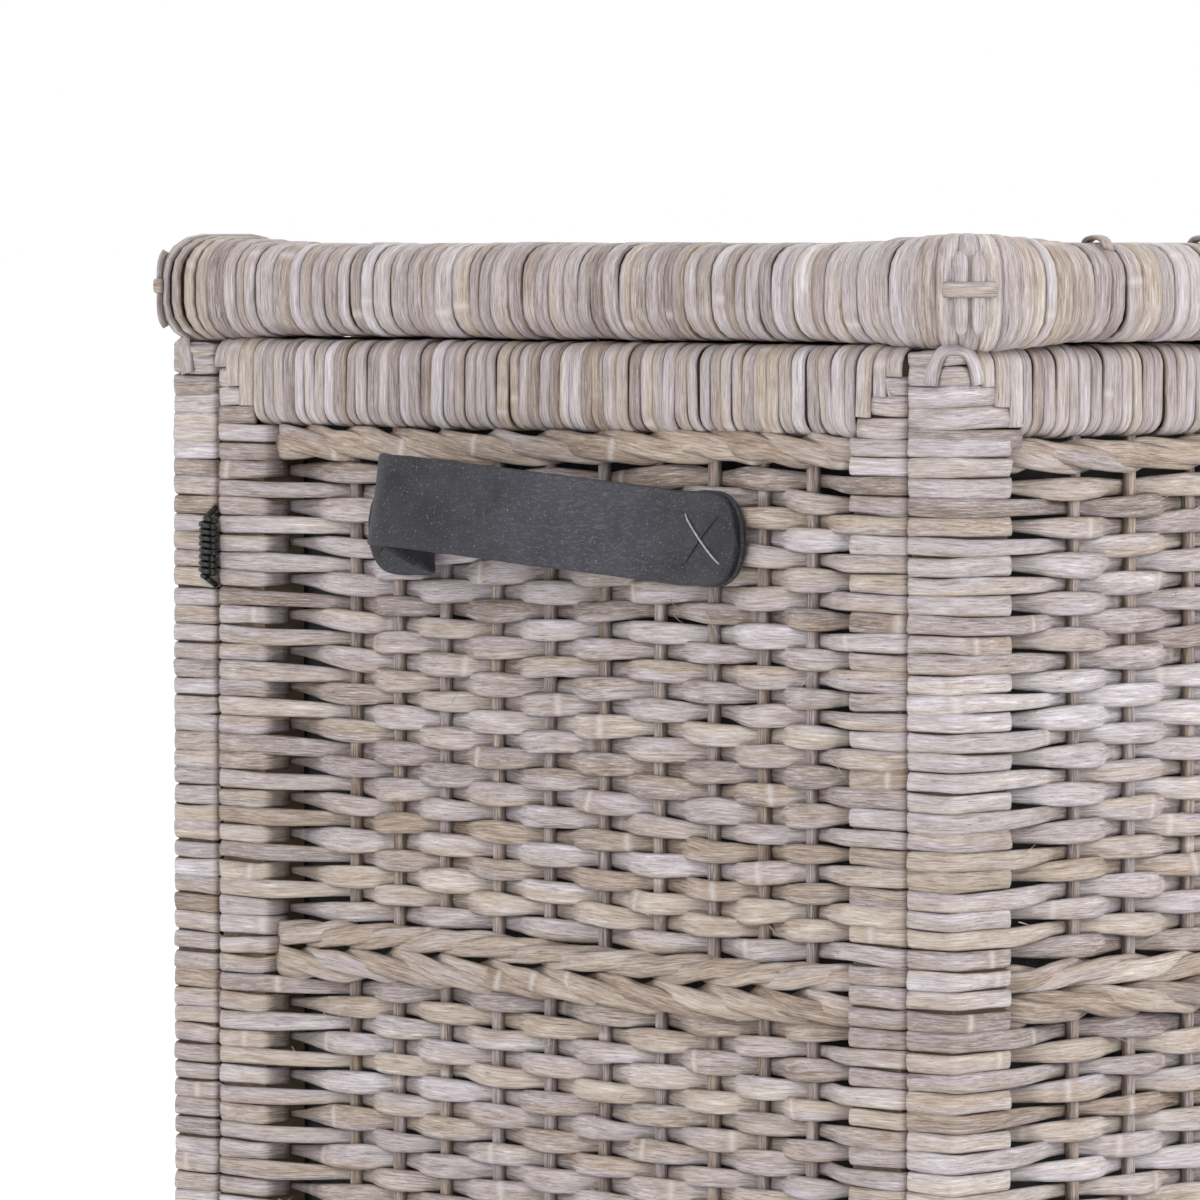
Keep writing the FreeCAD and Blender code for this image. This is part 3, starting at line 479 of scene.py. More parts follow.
class Side:
    """A straight stretch of the trunk with its own (u, v, z) frame."""

    def __init__(self, name, low, high):
        self.name = name
        x, y = X_AXIS, Y_AXIS
        corner, along, inward = {
            "front": ((low[0], low[1]), x, y),
            "back": ((high[0], high[1]), -x, -y),
            "left": ((low[0], high[1]), -y, x),
            "right": ((high[0], low[1]), y, -x),
        }[name]
        self.origin = np.array([*corner, 0.0])
        self.along = along
        self.inward = inward
        self.up = UP
        self.run = abs(np.dot(high - low, along))
        self.depth = abs(np.dot(high - low, inward))
        self.low = low[2]
        self.high = high[2]

    def world(self, u, v, z):
        return self.origin + self.turn(u, v, z)

    def turn(self, u, v, z):
        """A direction given in the side's own frame."""
        u, v, z = np.broadcast_arrays(u, v, z)
        return u[..., None] * self.along + v[..., None] * self.inward + z[..., None] * self.up

    def local_u(self, point):
        return float(np.dot(point - self.origin, self.along))


def spread_stakes(first, last, count):
    """Stake places, a little closer together towards the ends and never quite even."""
    share = np.linspace(0, 1, count)
    share = share - STAKE_SPREAD * np.sin(2 * np.pi * share)
    places = first + (last - first) * share
    places[1:-1] += rng.uniform(-1.0, 1.0, count - 2)
    return places


def make_side(name, count):
    side = Side(name, *box_mm(f"{name}_rim_wrap"))
    weave_low, weave_high = box_mm(f"{name}_weave")
    ends = sorted((side.local_u(weave_low), side.local_u(weave_high)))
    side.post = ends[0]
    side.weave_low = weave_low[2]
    side.weave_high = weave_high[2]
    stake_low, stake_high = box_mm(f"{name}_stakes")
    radius = min(stake_high[:2] - stake_low[:2]) / 2
    ends = sorted((side.local_u(stake_low), side.local_u(stake_high)))
    side.stakes = spread_stakes(ends[0] + radius, ends[1] - radius, count)
    middle = (stake_low + stake_high) / 2
    side.axis = float(np.dot(middle - side.origin, side.inward))
    side.end_face = name in ("front", "back")
    side.step = 4.0 if side.end_face else 3.0
    side.sway = rng.uniform(0, 6.28, 3)
    return side


# --- tones ---

DARK_SHARE = 0.12
DARK_TONES = (0.26, 0.42)
SPLICE_SHARE = 0.10


def tone_of(mean=0.60, spread=0.09):
    """One strand's shade, from 0, dark brown, to 1, pale."""
    if rng.random() < DARK_SHARE:
        return rng.uniform(*DARK_TONES)
    return float(np.clip(rng.normal(mean, spread), 0.15, 0.85))


# --- plain weave ---

LEVEL_NOISE = 0.45
WIDTH_RANGE = (0.94, 1.07)
WIDTH_NOISE = 0.075
THICK_NOISE = 0.09
LEAN_NOISE = 0.14
KNOT_STEP = 6
FACE_START = 15
TURN_ENDS = [10.0, 17.0]
TIP_DEEP = 8.0
TIP_RANGE = (0.7, 1.5)


def ease(x):
    return x * x * (3 - 2 * x)


def corner_arc(centre_u, centre_v, radius, start, end, count=4):
    angle = np.radians(np.linspace(start, end, count))
    return centre_u + radius * np.cos(angle), centre_v + radius * np.sin(angle)


def post_lead(side, reach=None):
    """A strip's way over a post, from the joint with the next panel as far as reach."""
    mid = STRAND_THICK / 2
    bend = POST_CORNER - mid
    runs = []
    if side.end_face:
        runs.append(corner_arc(POST_CORNER, side.depth - POST_CORNER, bend, 90, 180))
        v = np.linspace(side.depth - POST_CORNER - 3, POST_CORNER + 3, 4)
        runs.append((np.full(4, mid), v))
    else:
        v = np.linspace(FACE_START, POST_CORNER + 2, 3)
        runs.append((np.full(3, mid), v))
    runs.append(corner_arc(POST_CORNER, POST_CORNER, bend, 180, 270))
    end = side.post - POST_CORNER - 3 if reach is None else reach
    u = np.linspace(min(POST_CORNER + 3, end - 1), end, 5)
    runs.append((u, np.full(5, mid)))
    u = np.concatenate([run[0] for run in runs])
    v = np.concatenate([run[1] for run in runs])
    return u, v


def post_turn(side):
    """A strip's way round a post's inner edge."""
    mid = STRAND_THICK / 2
    bend = POST_CORNER - mid
    u, v = corner_arc(side.post - POST_CORNER, POST_CORNER, bend, 270, 360)
    return np.append(u, [side.post - mid, side.post - mid]), np.append(v, TURN_ENDS)


def post_wrap(side):
    """A strip's whole way over and round a post: (u, v, width)."""
    lead_u, lead_v = post_lead(side)
    turn_u, turn_v = post_turn(side)
    u = np.append(lead_u, turn_u)
    return u, np.append(lead_v, turn_v), np.full(len(u), POST_STRIP_WIDTH)


def lead_in(side, over):
    """The row's first part: strips (u, v, width), the last of which goes on into the weave."""
    first = side.stakes[0]
    share = np.linspace(0, 1, 10)[:-1]
    if over:
        start_u = side.post - 1.0
        start_v = side.axis + TIP_DEEP
        go_u = start_u + share * (first - start_u)
        go_v = start_v + ease(share) * (side.axis - WEAVE_SWING - start_v)
        point = TIP_WIDTH * rng.uniform(*TIP_RANGE)
        go_w = point + (STRAND_WIDTH - point) * np.sin(share * math.pi / 2) ** 1.3
        return [post_wrap(side), (go_u, go_v, go_w)]
    start_u = side.post - POST_CORNER
    go_u = start_u + share * (first - start_u)
    mid = STRAND_THICK / 2
    go_v = mid + ease(share) * (side.axis + WEAVE_SWING - mid)
    narrow = STRAND_WIDTH * (1 - TAPER)
    go_w = POST_STRIP_WIDTH + ease(share) * (narrow - POST_STRIP_WIDTH)
    u, v = post_lead(side)
    width = np.full(len(u), POST_STRIP_WIDTH)
    return [(np.append(u, go_u), np.append(v, go_v), np.append(width, go_w))]


def mirrored_run(side, run):
    u, v, width = run
    return (side.run - u)[::-1], v[::-1], width[::-1]


class MirrorSide:
    """A side seen from its far end, for the row's last part."""

    def __init__(self, side):
        self.__dict__.update(side.__dict__)
        self.stakes = side.run - side.stakes[::-1]


def over_under(axis, phase, swing, bluntness, narrowing):
    """How deep a strand lies and how wide it is; it is in front at even phases."""
    wave = np.cos(np.pi * phase)
    v = axis - swing * np.sign(wave) * np.abs(wave) ** bluntness
    off = np.abs((phase + 1) % 2 - 1)
    return v, STRAND_WIDTH * (1 - TAPER * off**narrowing)


def weave_middle(side, parity):
    """The row's way over and under its stakes."""
    stakes = side.stakes
    u = np.arange(stakes[0], stakes[-1] + side.step / 2, side.step)
    phase = np.interp(u, stakes, np.arange(len(stakes))) + parity
    return (u, *over_under(side.axis, phase, WEAVE_SWING, 0.75, 1.8))


def sway_of(side, u, z):
    """How far a row strays from level: smooth along and across the rows."""
    a, b = side.sway[:2]
    away = np.clip(np.minimum(u - side.post, side.run - side.post - u) / 60, 0, 1)
    wave = 1.3 * np.sin(u / 95 + z / 70 + a) + 0.8 * np.sin(u / 41 - z / 52 + b)
    return wave * (0.15 + 0.85 * away)


def smooth(values, times=1):
    for _ in range(times):
        padded = np.concatenate([values[:1], values, values[-1:]])
        values = (padded[:-2] + 2 * values + padded[2:]) / 4
    return values


def noise_line(count, amount):
    """A smooth random line of a given size."""
    knots = max(4, count // KNOT_STEP)
    line = np.interp(np.linspace(0, knots - 1, count), np.arange(knots), rng.normal(0, 1, knots))
    return smooth(line, 2) * amount


def lay_strand(bundle, side, run, z, tone, thick=STRAND_THICK, level=None):
    """Adds one run of a row at height z."""
    u, v, width = run
    v = smooth(v)
    count = len(u)
    if level is None:
        level = z + sway_of(side, u, z) + noise_line(count, LEVEL_NOISE)
    width = width * (rng.uniform(*WIDTH_RANGE) + noise_line(count, WIDTH_NOISE))
    thick = thick * (1 + noise_line(count, THICK_NOISE))
    lean = noise_line(count, LEAN_NOISE)
    side_way = side.turn(0.0, lean, 1.0)
    bundle.add(side.world(u, v, level), side_way, width, thick, outward_of(side, u), tone)


def outward_of(side, u):
    """Away from the middle of the panel's thickness, so that corners face out too."""
    ends = np.where(u < POST_CORNER, -1.0, np.where(u > side.run - POST_CORNER, 1.0, 0.0))
    return side.turn(ends * 2.0, -1.0, 0.0)


def spliced_tones(u, stakes, parity, tone):
    """The row's shade along its length: new canes start where the strand is hidden."""
    tones = np.full(len(u), tone)
    hidden = stakes[(np.arange(len(stakes)) + parity) % 2 == 1]
    for place in hidden:
        if rng.random() < SPLICE_SHARE:
            tone = tone_of()
        tones[u > place] = tone
    return tones


def weave_row(bundle, side, z, parity):
    over_first = parity % 2 == 0
    over_last = (len(side.stakes) - 1 + parity) % 2 == 0
    heads = lead_in(side, over_first)
    tails = [mirrored_run(side, run) for run in lead_in(MirrorSide(side), over_last)]
    middle = weave_middle(side, parity)
    joined = [
        np.concatenate([heads[-1][i], middle[i][:-1], tails[-1][i]]) for i in range(3)
    ]
    tone = tone_of()
    tones = spliced_tones(joined[0], side.stakes, parity, tone)
    lay_strand(bundle, side, joined, z, tones)
    for run in heads[:-1]:
        lay_strand(bundle, side, run, z, tone)
    for run in tails[:-1]:
        lay_strand(bundle, side, run, z, tones[-1])


def row_heights(low, high):
    count = round((high - low) / ROW_PITCH)
    step = (high - low) / count
    return low + step * (np.arange(count) + 0.5)


def post_rows(bundle, side, heights):
    """Strips round both posts where no plain row runs."""
    near = post_wrap(side)
    far = mirrored_run(side, post_wrap(MirrorSide(side)))
    for z in heights:
        for run in (near, far):
            lay_strand(bundle, side, run, z, tone_of())


# --- bands ---

BAND_HIDDEN = 4.2
BAND_TUCK = 7.0
BAND_TUCK_RUN = 11.0
BRAID_LOW = 199.0
BRAID_HIGH = 225.0
BRAID_OFFSET = 6.3
SPLINTER_PITCH = 5
SPLINTER_LENGTH = (5.0, 14.0)
SPLINTER_OUT = (0.2, 2.2)
SPLINTER_WIDTH = (0.25, 0.6)
SPLINTER_THICK = 0.35
SPLINTER_TONE = (0.6, 0.95)


def twisted_band(bundle, side, z, rise, reach, proud, width):
    """Three strands in turn: each slants over two stakes, then hides behind the third."""
    strands = 3
    front = (strands - 1) / strands
    stakes = side.stakes
    start = side.post - 2
    end = side.run - side.post + 2
    u = np.arange(start, end, side.step * 0.6)
    knots_u = np.concatenate([[start], stakes, [end]])
    first_gap = (stakes[0] - start) / (stakes[1] - stakes[0])
    last_gap = (end - stakes[-1]) / (stakes[-1] - stakes[-2])
    count = len(stakes)
    knots = np.concatenate([[-first_gap], np.arange(count), [count - 1 + last_gap]])
    place = np.interp(u, knots_u, knots)
    from_end = np.minimum(u - start, end - u) / BAND_TUCK_RUN
    tuck = BAND_TUCK * (1 - ease(np.clip(from_end, 0, 1)))
    for number in range(strands):
        turn = (place - number) / strands + 0.5
        turn = turn - np.floor(turn) - 0.5
        inside = np.abs(turn) * 2 / front
        bulge = np.where(inside < 1, np.cos(np.minimum(inside, 1) * math.pi / 2) ** 0.55, 0)
        hidden = np.clip((inside - 1) / (1 / front - 1), 0, 1)
        v = side.axis - proud - reach * bulge + BAND_HIDDEN * np.sin(hidden * math.pi / 2) + tuck
        across = np.where(inside < 1, turn * 2 / front, np.sign(turn) * (1 - hidden))
        level = z + sway_of(side, u, z) + rise * smooth(across, 2) + noise_line(len(u), 0.4)
        size = width * (0.66 + 0.34 * np.maximum(bulge, 0))
        tone = spliced_tones(u, stakes, number, tone_of(0.52, 0.08))
        lay_strand(bundle, side, (u, v, size), z, tone, STRAND_THICK * 1.1, level)


def splinter(bundle, side, u, v, z):
    """A hair of cane that has sprung out of the weave."""
    share = np.linspace(0, 1, 6)
    length = rng.uniform(*SPLINTER_LENGTH)
    lean = rng.normal(0, 0.35)
    curl = rng.uniform(-0.35, 0.35)
    along = u + length * share * math.cos(lean)
    level = z + length * (share * math.sin(lean) + curl * share**2)
    out = v - rng.uniform(*SPLINTER_OUT) * np.sin(share * 2.2)
    points = side.world(along, out, level)
    width = rng.uniform(*SPLINTER_WIDTH) * (1.1 - share)
    tone = rng.uniform(*SPLINTER_TONE)
    bundle.add(points, side.up, width, SPLINTER_THICK, -side.inward, tone)


# --- stakes ---


def stand_stakes(side):
    bundle = Bundle()
    z = np.linspace(side.weave_low - 2, side.weave_high + 2, 40)
    for u in side.stakes:
        line = u + noise_line(len(z), 0.35)
        width = STAKE_WIDTH * (1 + noise_line(len(z), 0.05))
        points = side.world(line, side.axis, z)
        bundle.add(points, side.along, width, STAKE_THICK, -side.inward, tone_of(0.40, 0.08))
    name = f"{side.name}_stake_canes"
    bundle.build(name, STAKE, "trunk", "stake_cane", [f"{side.name}_stakes"])


# --- strips wrapped round rails ---


def rounded_loop(corners, bend, corner_steps, straight_steps):
    """A closed line through rounded corners (x, y, first angle), and its outward directions."""
    points, normals = [], []
    for number, (x, y, start) in enumerate(corners):
        angle = np.radians(np.linspace(start, start + 90, corner_steps))
        facing = np.stack([np.cos(angle), np.sin(angle)], 1)
        arc = np.stack([x + bend * np.cos(angle), y + bend * np.sin(angle)], 1)
        next_x, next_y, next_start = corners[(number + 1) % 4]
        turned = math.radians(next_start)
        target = np.array([next_x + bend * math.cos(turned), next_y + bend * math.sin(turned)])
        share = np.linspace(0, 1, straight_steps + 1)[1:-1, None]
        points += [arc, arc[-1] + share * (target - arc[-1])]
        normals += [facing, np.repeat(facing[-1:], straight_steps - 1, 0)]
    return np.concatenate(points), np.concatenate(normals)


def centred_loop(half, bend, corner_steps, straight_steps):
    """A rounded rectangle about the middle, given half its size."""
    x, y = half - bend
    corners = ((x, y, 0), (-x, y, 90), (-x, -y, 180), (x, -y, 270))
    return rounded_loop(corners, bend, corner_steps, straight_steps)[0]


def rail_loop(depth, low, high, radius, inset, corner_steps=6, straight_steps=4):
    """A closed (v, z) line round a rail's section, and its outward directions."""
    bend = radius - inset
    v0, v1 = inset + bend, depth - inset - bend
    z0, z1 = low + inset + bend, high - inset - bend
    corners = ((v0, z0, 180), (v1, z0, 270), (v1, z1, 0), (v0, z1, 90))
    points, normals = rounded_loop(corners, bend, corner_steps, straight_steps)
    inner = int(np.argmax(points[:, 0] - 0.01 * np.abs(points[:, 1] - (z0 + z1) / 2)))
    return np.roll(points, -inner, 0), np.roll(normals, -inner, 0)


STRIP_LEAN = 0.5
STRIP_SWELL = 0.10
STRIP_BOW = 0.35
STRIP_PROUD = (-0.35, 0.55)
STRIP_TURN = 0.06


def wrap_strip(bundle, side, u, width, line, tone, thick=STRIP_THICK, lift=0.0, closed=True):
    """One strip round a rail at u, along a (v, z) line with its outward directions."""
    points, normals = line
    lean = rng.normal(0, STRIP_LEAN)
    middle = (points.max(0) + points.min(0)) / 2
    reach = (points.max(0) - points.min(0)) / 2
    swell = 1 + rng.normal(0, STRIP_SWELL)
    bow = rng.normal(0, STRIP_BOW)
    across = u + lean * (points[:, 1] - middle[1]) / reach[1] + bow * normals[:, 1] ** 2
    out = lift + rng.uniform(*STRIP_PROUD)
    v = points[:, 0] + normals[:, 0] * out
    z = points[:, 1] + normals[:, 1] * out
    facing = side.turn(0.0, normals[:, 0], normals[:, 1])
    sideways = side.turn(1.0, rng.normal(0, STRIP_TURN), 0.0)
    bundle.add(side.world(across, v, z), sideways, width, thick * swell, facing, tone, closed)


def cut_loop(loop, depth, edge, inwards, length):
    """The loop without its outer face beyond a distance from the rail's edge."""
    points, normals = loop
    away = (edge - points[:, 1]) * -inwards
    gone = (points[:, 0] < depth / 2) & (away > length)
    first = int(np.argmax(gone))
    order = np.roll(np.arange(len(points)), -first - int(gone.sum()))
    keep = [index for index in order if not gone[index]]
    points, normals = points[keep], normals[keep]
    end = np.array([[points[:, 0].min(), edge + inwards * length]])
    facing = np.array([[-1.0, 0.0]])
    parts = ((points, end), (normals, facing))
    if inwards > 0:
        parts = ((end, points), (facing, normals))
    return np.concatenate(parts[0]), np.concatenate(parts[1])


SLIT_SHARE = 0.10
SLIT_SIZES = (0.5, 1.2)
JOINT_SIZES = (-0.25, 0.1)


def strip_places(start, end, sizes):
    """Strip middles and widths that fill a stretch, with slits here and there."""
    places, widths = [], []
    u = start
    while u < end - sizes[0] * 0.6:
        width = rng.uniform(*sizes)
        gap = rng.uniform(*(SLIT_SIZES if rng.random() < SLIT_SHARE else JOINT_SIZES))
        places.append(u + width / 2)
        widths.append(width)
        u += width + gap
    scale = (end - start) / (u - start)
    return start + (np.array(places) - start) * scale, np.array(widths) * scale


STEP_COUNT = 3
STEP_RUN = 8.4
STEP_DROP = 8.5
CORNER_START = 16.0
CORNER_DROP = 16.5
JOINT_START = 0.6
JOINT_DROP = 12.5


def corner_steps(side):
    """Where a corner's stepped strips begin: along the panel, and from its edge."""
    return (CORNER_START, CORNER_DROP) if side.end_face else (JOINT_START, JOINT_DROP)


def level_strip(bundle, side, z, reach, width, flip, tone):
    """A strip that lies level on a post: from the joint round to the panel's face."""
    u, v = post_lead(side, reach)
    run = (u, v, np.full(len(u), width))
    if flip:
        run = mirrored_run(side, run)
    lay_strand(bundle, side, run, z, tone, STRIP_THICK)


def step_corners(bundle, side, edge, inwards):
    """Level strips stepped against the upright ones; inwards is -1 at the top, 1 below."""
    start, drop = corner_steps(side)
    for flip in (False, True):
        if side.end_face:
            z = edge + inwards * (drop - 5.0)
            level_strip(bundle, side, z, start - 3, 8.4, flip, tone_of(0.6, 0.05))
            z = edge + inwards * 5.2
            level_strip(bundle, side, z, start - 5, 5.6, flip, tone_of(0.5, 0.05))
        for step in range(STEP_COUNT):
            z = edge + inwards * (drop + STEP_DROP * (step + 0.5))
            reach = start + STEP_RUN * (step + 1)
            tone = tone_of(0.64, 0.05)
            level_strip(bundle, side, z, reach, STEP_DROP + 0.7, flip, tone)


def wrap_rail(bundle, side, low, high, inwards, mean):
    """Upright strips round a rail, those near each end cut off in steps."""
    loop = rail_loop(side.depth, low, high, RIM_EDGE_RADIUS, STRIP_THICK / 2 - 0.2)
    start, drop = corner_steps(side)
    edge = high if inwards < 0 else low
    for step in range(STEP_COUNT):
        short = cut_loop(loop, side.depth, edge, inwards, drop + STEP_DROP * step)
        u = start + STEP_RUN * (step + 0.5)
        for place in (u, side.run - u):
            tone = tone_of(0.62, 0.05)
            wrap_strip(bundle, side, place, STEP_RUN + 0.3, short, tone, lift=0.3, closed=False)
    inner = start + STEP_RUN * STEP_COUNT
    places, widths = strip_places(inner, side.run - inner, RIM_STRIP)
    for u, width in zip(places, widths):
        wrap_strip(bundle, side, u, width, loop, tone_of(mean))
    if side.end_face:
        crown_ends(bundle, side, edge, inwards)


ARCH_REACH = 14.5
ARCH_DROP = 15.5
ARCH_RISE = 14.6
ARCH_INWARD = 4.2
ARCH_PROUD = 1.3


def add_arches(bundle, side):
    """At each free corner, a strip that springs from the end face over to the front."""
    if not side.end_face:
        return
    for flip in (False, True):
        share = np.linspace(-1, 1, 21)
        sweep = share * ARCH_REACH
        z = side.high - ARCH_DROP + ARCH_RISE * (1 - np.abs(share) ** 3.2)
        inward = ARCH_INWARD * (1 - share**2) ** 3
        u = np.where(sweep > 0, sweep, 0.0) - ARCH_PROUD * 0.4 + inward
        v = np.where(sweep > 0, 0.0, -sweep) - ARCH_PROUD * 0.4 + inward
        u, v = smooth(u, 2), smooth(v, 2)
        ends = -1.0
        if flip:
            u, ends = side.run - u, 1.0
        points = side.world(u, v, z)
        out = np.clip((sweep + 6) / 12, 0, 1)
        facing = side.turn(ends * (1 - out), -out, 0.9 * (1 - share**2))
        sideways = np.cross(np.gradient(points, axis=0), facing)
        bundle.add(points, sideways, 8.4, 2.3, facing, tone_of(0.62, 0.03))


def fill_rails(side):
    """The wooden rails inside the wraps, short of the panel's ends."""
    bundle = Bundle(BLOCK_RING)
    for node in ("top_rail", "bottom_rail"):
        low, high = box_mm(f"{side.name}_{node}")
        u = np.array([3.2, side.run - 3.2])
        points = side.world(u, side.depth / 2, (low[2] + high[2]) / 2)
        height = (high[2] - low[2]) * 0.94
        bundle.add(points, side.up, height, side.depth - 7, -side.inward, 0.5)
    replaced = [f"{side.name}_top_rail", f"{side.name}_bottom_rail"]
    bundle.build(f"{side.name}_rails", POLE, "trunk", "pole_wood", replaced)


CROWN_START = 5.0
CROWN_PITCH = 6.6
CROWN_WIDTH = 6.8
CROWN_SINK = 1.5
CROWN_BOW = 2.5


def crown_ends(bundle, side, edge, inwards):
    """Two strips across the rail, beside each end, sunk a little below its edge."""
    v = np.linspace(2.0, side.depth - 2.5, 9)
    crown = edge + inwards * (STRIP_THICK / 2 + CROWN_SINK)
    z = crown + inwards * CROWN_BOW * np.abs(np.linspace(-1, 1, 9)) ** 4
    for number in range(2):
        u = CROWN_START + CROWN_PITCH * number
        for place in (u, side.run - u):
            points = side.world(place, v, z)
            facing = -inwards * side.up
            bundle.add(points, side.along, CROWN_WIDTH, STRIP_THICK, facing, tone_of(0.5))


def wrap_edge(side, edge, inwards, mean):
    """Upright strips round a rail, stepped into the posts' level strips at each corner."""
    bundle = Bundle()
    wrap = f"{side.name}_{edge}_wrap"
    low, high = box_mm(wrap)
    wrap_rail(bundle, side, low[2], high[2], inwards, mean)
    step_corners(bundle, side, high[2] if inwards < 0 else low[2], inwards)
    if edge == "rim":
        add_arches(bundle, side)
    name = f"{side.name}_{edge}_strips"
    bundle.build(name, WRAPPED, "trunk", "wrapped_cane", [wrap])


# Rows this close to the braid are often of tan cane.
WARM_REACH = 45.0
WARM_SHARE = 0.6


def weave_panel(side):
    """One woven wall: twisted band, plain rows, chevron braid, plain rows."""
    band_low = side.weave_high - BAND_HEIGHT
    braid_low, braid_high = side.weave_low + BRAID_LOW, side.weave_low + BRAID_HIGH
    upper, warm = Bundle(), Bundle()
    for number, z in enumerate(row_heights(braid_high, band_low)):
        tan = z - braid_high < WARM_REACH and rng.random() < WARM_SHARE
        weave_row(warm if tan else upper, side, z, number % 2)
    post_rows(upper, side, row_heights(band_low, side.weave_high))
    lower = Bundle()
    for number, z in enumerate(row_heights(side.weave_low, braid_low)):
        tan = braid_low - z < WARM_REACH and rng.random() < WARM_SHARE
        weave_row(warm if tan else lower, side, z, number % 2)
    post_rows(lower, side, row_heights(braid_low, braid_high))
    bands = Bundle()
    middle = (band_low + side.weave_high) / 2
    twisted_band(bands, side, middle + 1.2, rise=-4.2, reach=4.6, proud=1.4, width=10.6)
    centre = (braid_low + braid_high) / 2
    upper_z, lower_z = centre + BRAID_OFFSET, centre - BRAID_OFFSET
    twisted_band(bands, side, upper_z, rise=3.6, reach=4.4, proud=1.8, width=9.4)
    twisted_band(bands, side, lower_z, rise=-4.8, reach=4.4, proud=2.6, width=9.8)
    for _ in range(int(side.run / SPLINTER_PITCH)):
        u = rng.uniform(side.post, side.run - side.post)
        splinter(bands, side, u, side.axis - 6.0, rng.uniform(side.weave_low, side.weave_high))
    replaced = [f"{side.name}_weave", f"{side.name}_post_wraps"]
    name = side.name
    upper.build(f"{name}_weave_upper", WOVEN, "trunk", "woven_cane", replaced)
    lower.build(f"{name}_weave_lower", WOVEN, "trunk", "woven_cane")
    bands.build(f"{name}_twisted_bands", TAN, "trunk", "woven_cane")
    warm.build(f"{name}_weave_tan", TAN, "trunk", "woven_cane")


# --- lid ---


LID_BULGE = 3.0
LID_BULGE_RUN = 45.0
LOOP_COUNT = 9
LOOP_SCATTER = 15
LOOP_REACH = 13.0
LOOP_SLANT = 7.0


def add_loops(bundle, side):
    """Short strands that cross over the bar's top and stand a little proud of it."""
    for number in range(LOOP_COUNT):
        u = side.run * (number + 0.5) / LOOP_COUNT + rng.uniform(-LOOP_SCATTER, LOOP_SCATTER)
        share = np.linspace(-1, 1, 11)
        v = side.depth * 0.42 + share * LOOP_REACH
        z = side.high + 0.8 + 2.2 * (1 - share**2) - 3.0 * share**6
        points = side.world(u + LOOP_SLANT * share, v, z)
        bundle.add(points, side.along, 6.0, 2.2, side.up, tone_of(0.6, 0.05))


def wrap_lid(side):
    """Strips wrapped round one of the lid's bars."""
    bundle = Bundle()
    inset = STRIP_THICK / 2 - 0.2
    loop = rail_loop(side.depth, side.low, side.high, LID_EDGE_RADIUS, inset, 5, 4)
    places, widths = strip_places(0, side.run, LID_STRIP)
    for u, width in zip(places, widths):
        away = min(u, side.run - u) / LID_BULGE_RUN
        lift = LID_BULGE * max(0.0, 1 - away) ** 2
        wrap_strip(bundle, side, u, width, loop, tone_of(0.57, 0.14), STRIP_THICK * 1.2, lift=lift)
    if side.name == "front":
        add_loops(bundle, side)
    name = f"lid_{side.name}_strips"
    bundle.build(name, WRAPPED, "lid", "wrapped_cane", [f"lid_{side.name}_wrap"])


LID_FRAME_BEND = 10.0


def frame_lid():
    """The lid's bars inside the wraps, as one rounded frame."""
    corner = box_mm("lid_corner_bindings")[1]
    low, high = box_mm("lid_left_bar")
    width = high[0] - low[0]
    ring = centred_loop(corner[:2] - STRIP_THICK - width / 2 - 1.0, LID_FRAME_BEND, 6, 1)
    bundle = Bundle(BAR_RING)
    height = high[2] - low[2]
    points = np.column_stack([ring, np.full(len(ring), (low[2] + high[2]) / 2)])
    outward = points * (X_AXIS + Y_AXIS)
    bundle.add(points, UP, height, width, outward, 0.5, closed=True)
    replaced = [f"lid_{side}_bar" for side in ("front", "back", "left", "right")]
    bundle.build("lid_frame", POLE, "lid", "pole_wood", replaced)


CORNER_STRIPS = 9
CORNER_RADIUS = 28.0
CORNER_BULGE = 1.6
CORNER_SCATTER = 0.25
CORNER_OVERLAP = 2.1
CORNER_NARROWEST = 1.2
LASH_WIDTH = 6.3
LASH_SHIFT = 3.6
LASH_REACH = 17.0
LASH_ACROSS = 10.5


def corner_reach(angle, size):
    """From the frame's inner corner to its rounded outer outline, along an angle."""
    square = size / max(math.cos(angle), math.sin(angle))
    inner = size - CORNER_RADIUS
    across = inner * (math.cos(angle) + math.sin(angle))
    rounded = across + math.sqrt(max(across**2 - 2 * inner**2 + CORNER_RADIUS**2, 0))
    point = rounded * np.array([math.cos(angle), math.sin(angle)])
    return rounded if min(point) > inner else square


def bind_corners():
    """Strips fanned round each corner of the lid, with the lashing that ties them."""
    bundle = Bundle()
    low, high = box_mm("lid_corner_bindings")
    bar_low, bar_high = box_mm("lid_front_wrap")
    size = bar_high[1] - bar_low[1]
    bottom, top = bar_low[2], bar_high[2]
    for x_sign in (-1, 1):
        for y_sign in (-1, 1):
            edge = np.array([low[0] if x_sign < 0 else high[0], low[1] if y_sign < 0 else high[1]])
            pivot = edge - np.array([x_sign, y_sign]) * size
            bind_corner(bundle, pivot, x_sign, y_sign, size, bottom, top)
    bundle.build("lid_corner_strips", WRAPPED, "lid", "wrapped_cane", ["lid_corner_bindings"])


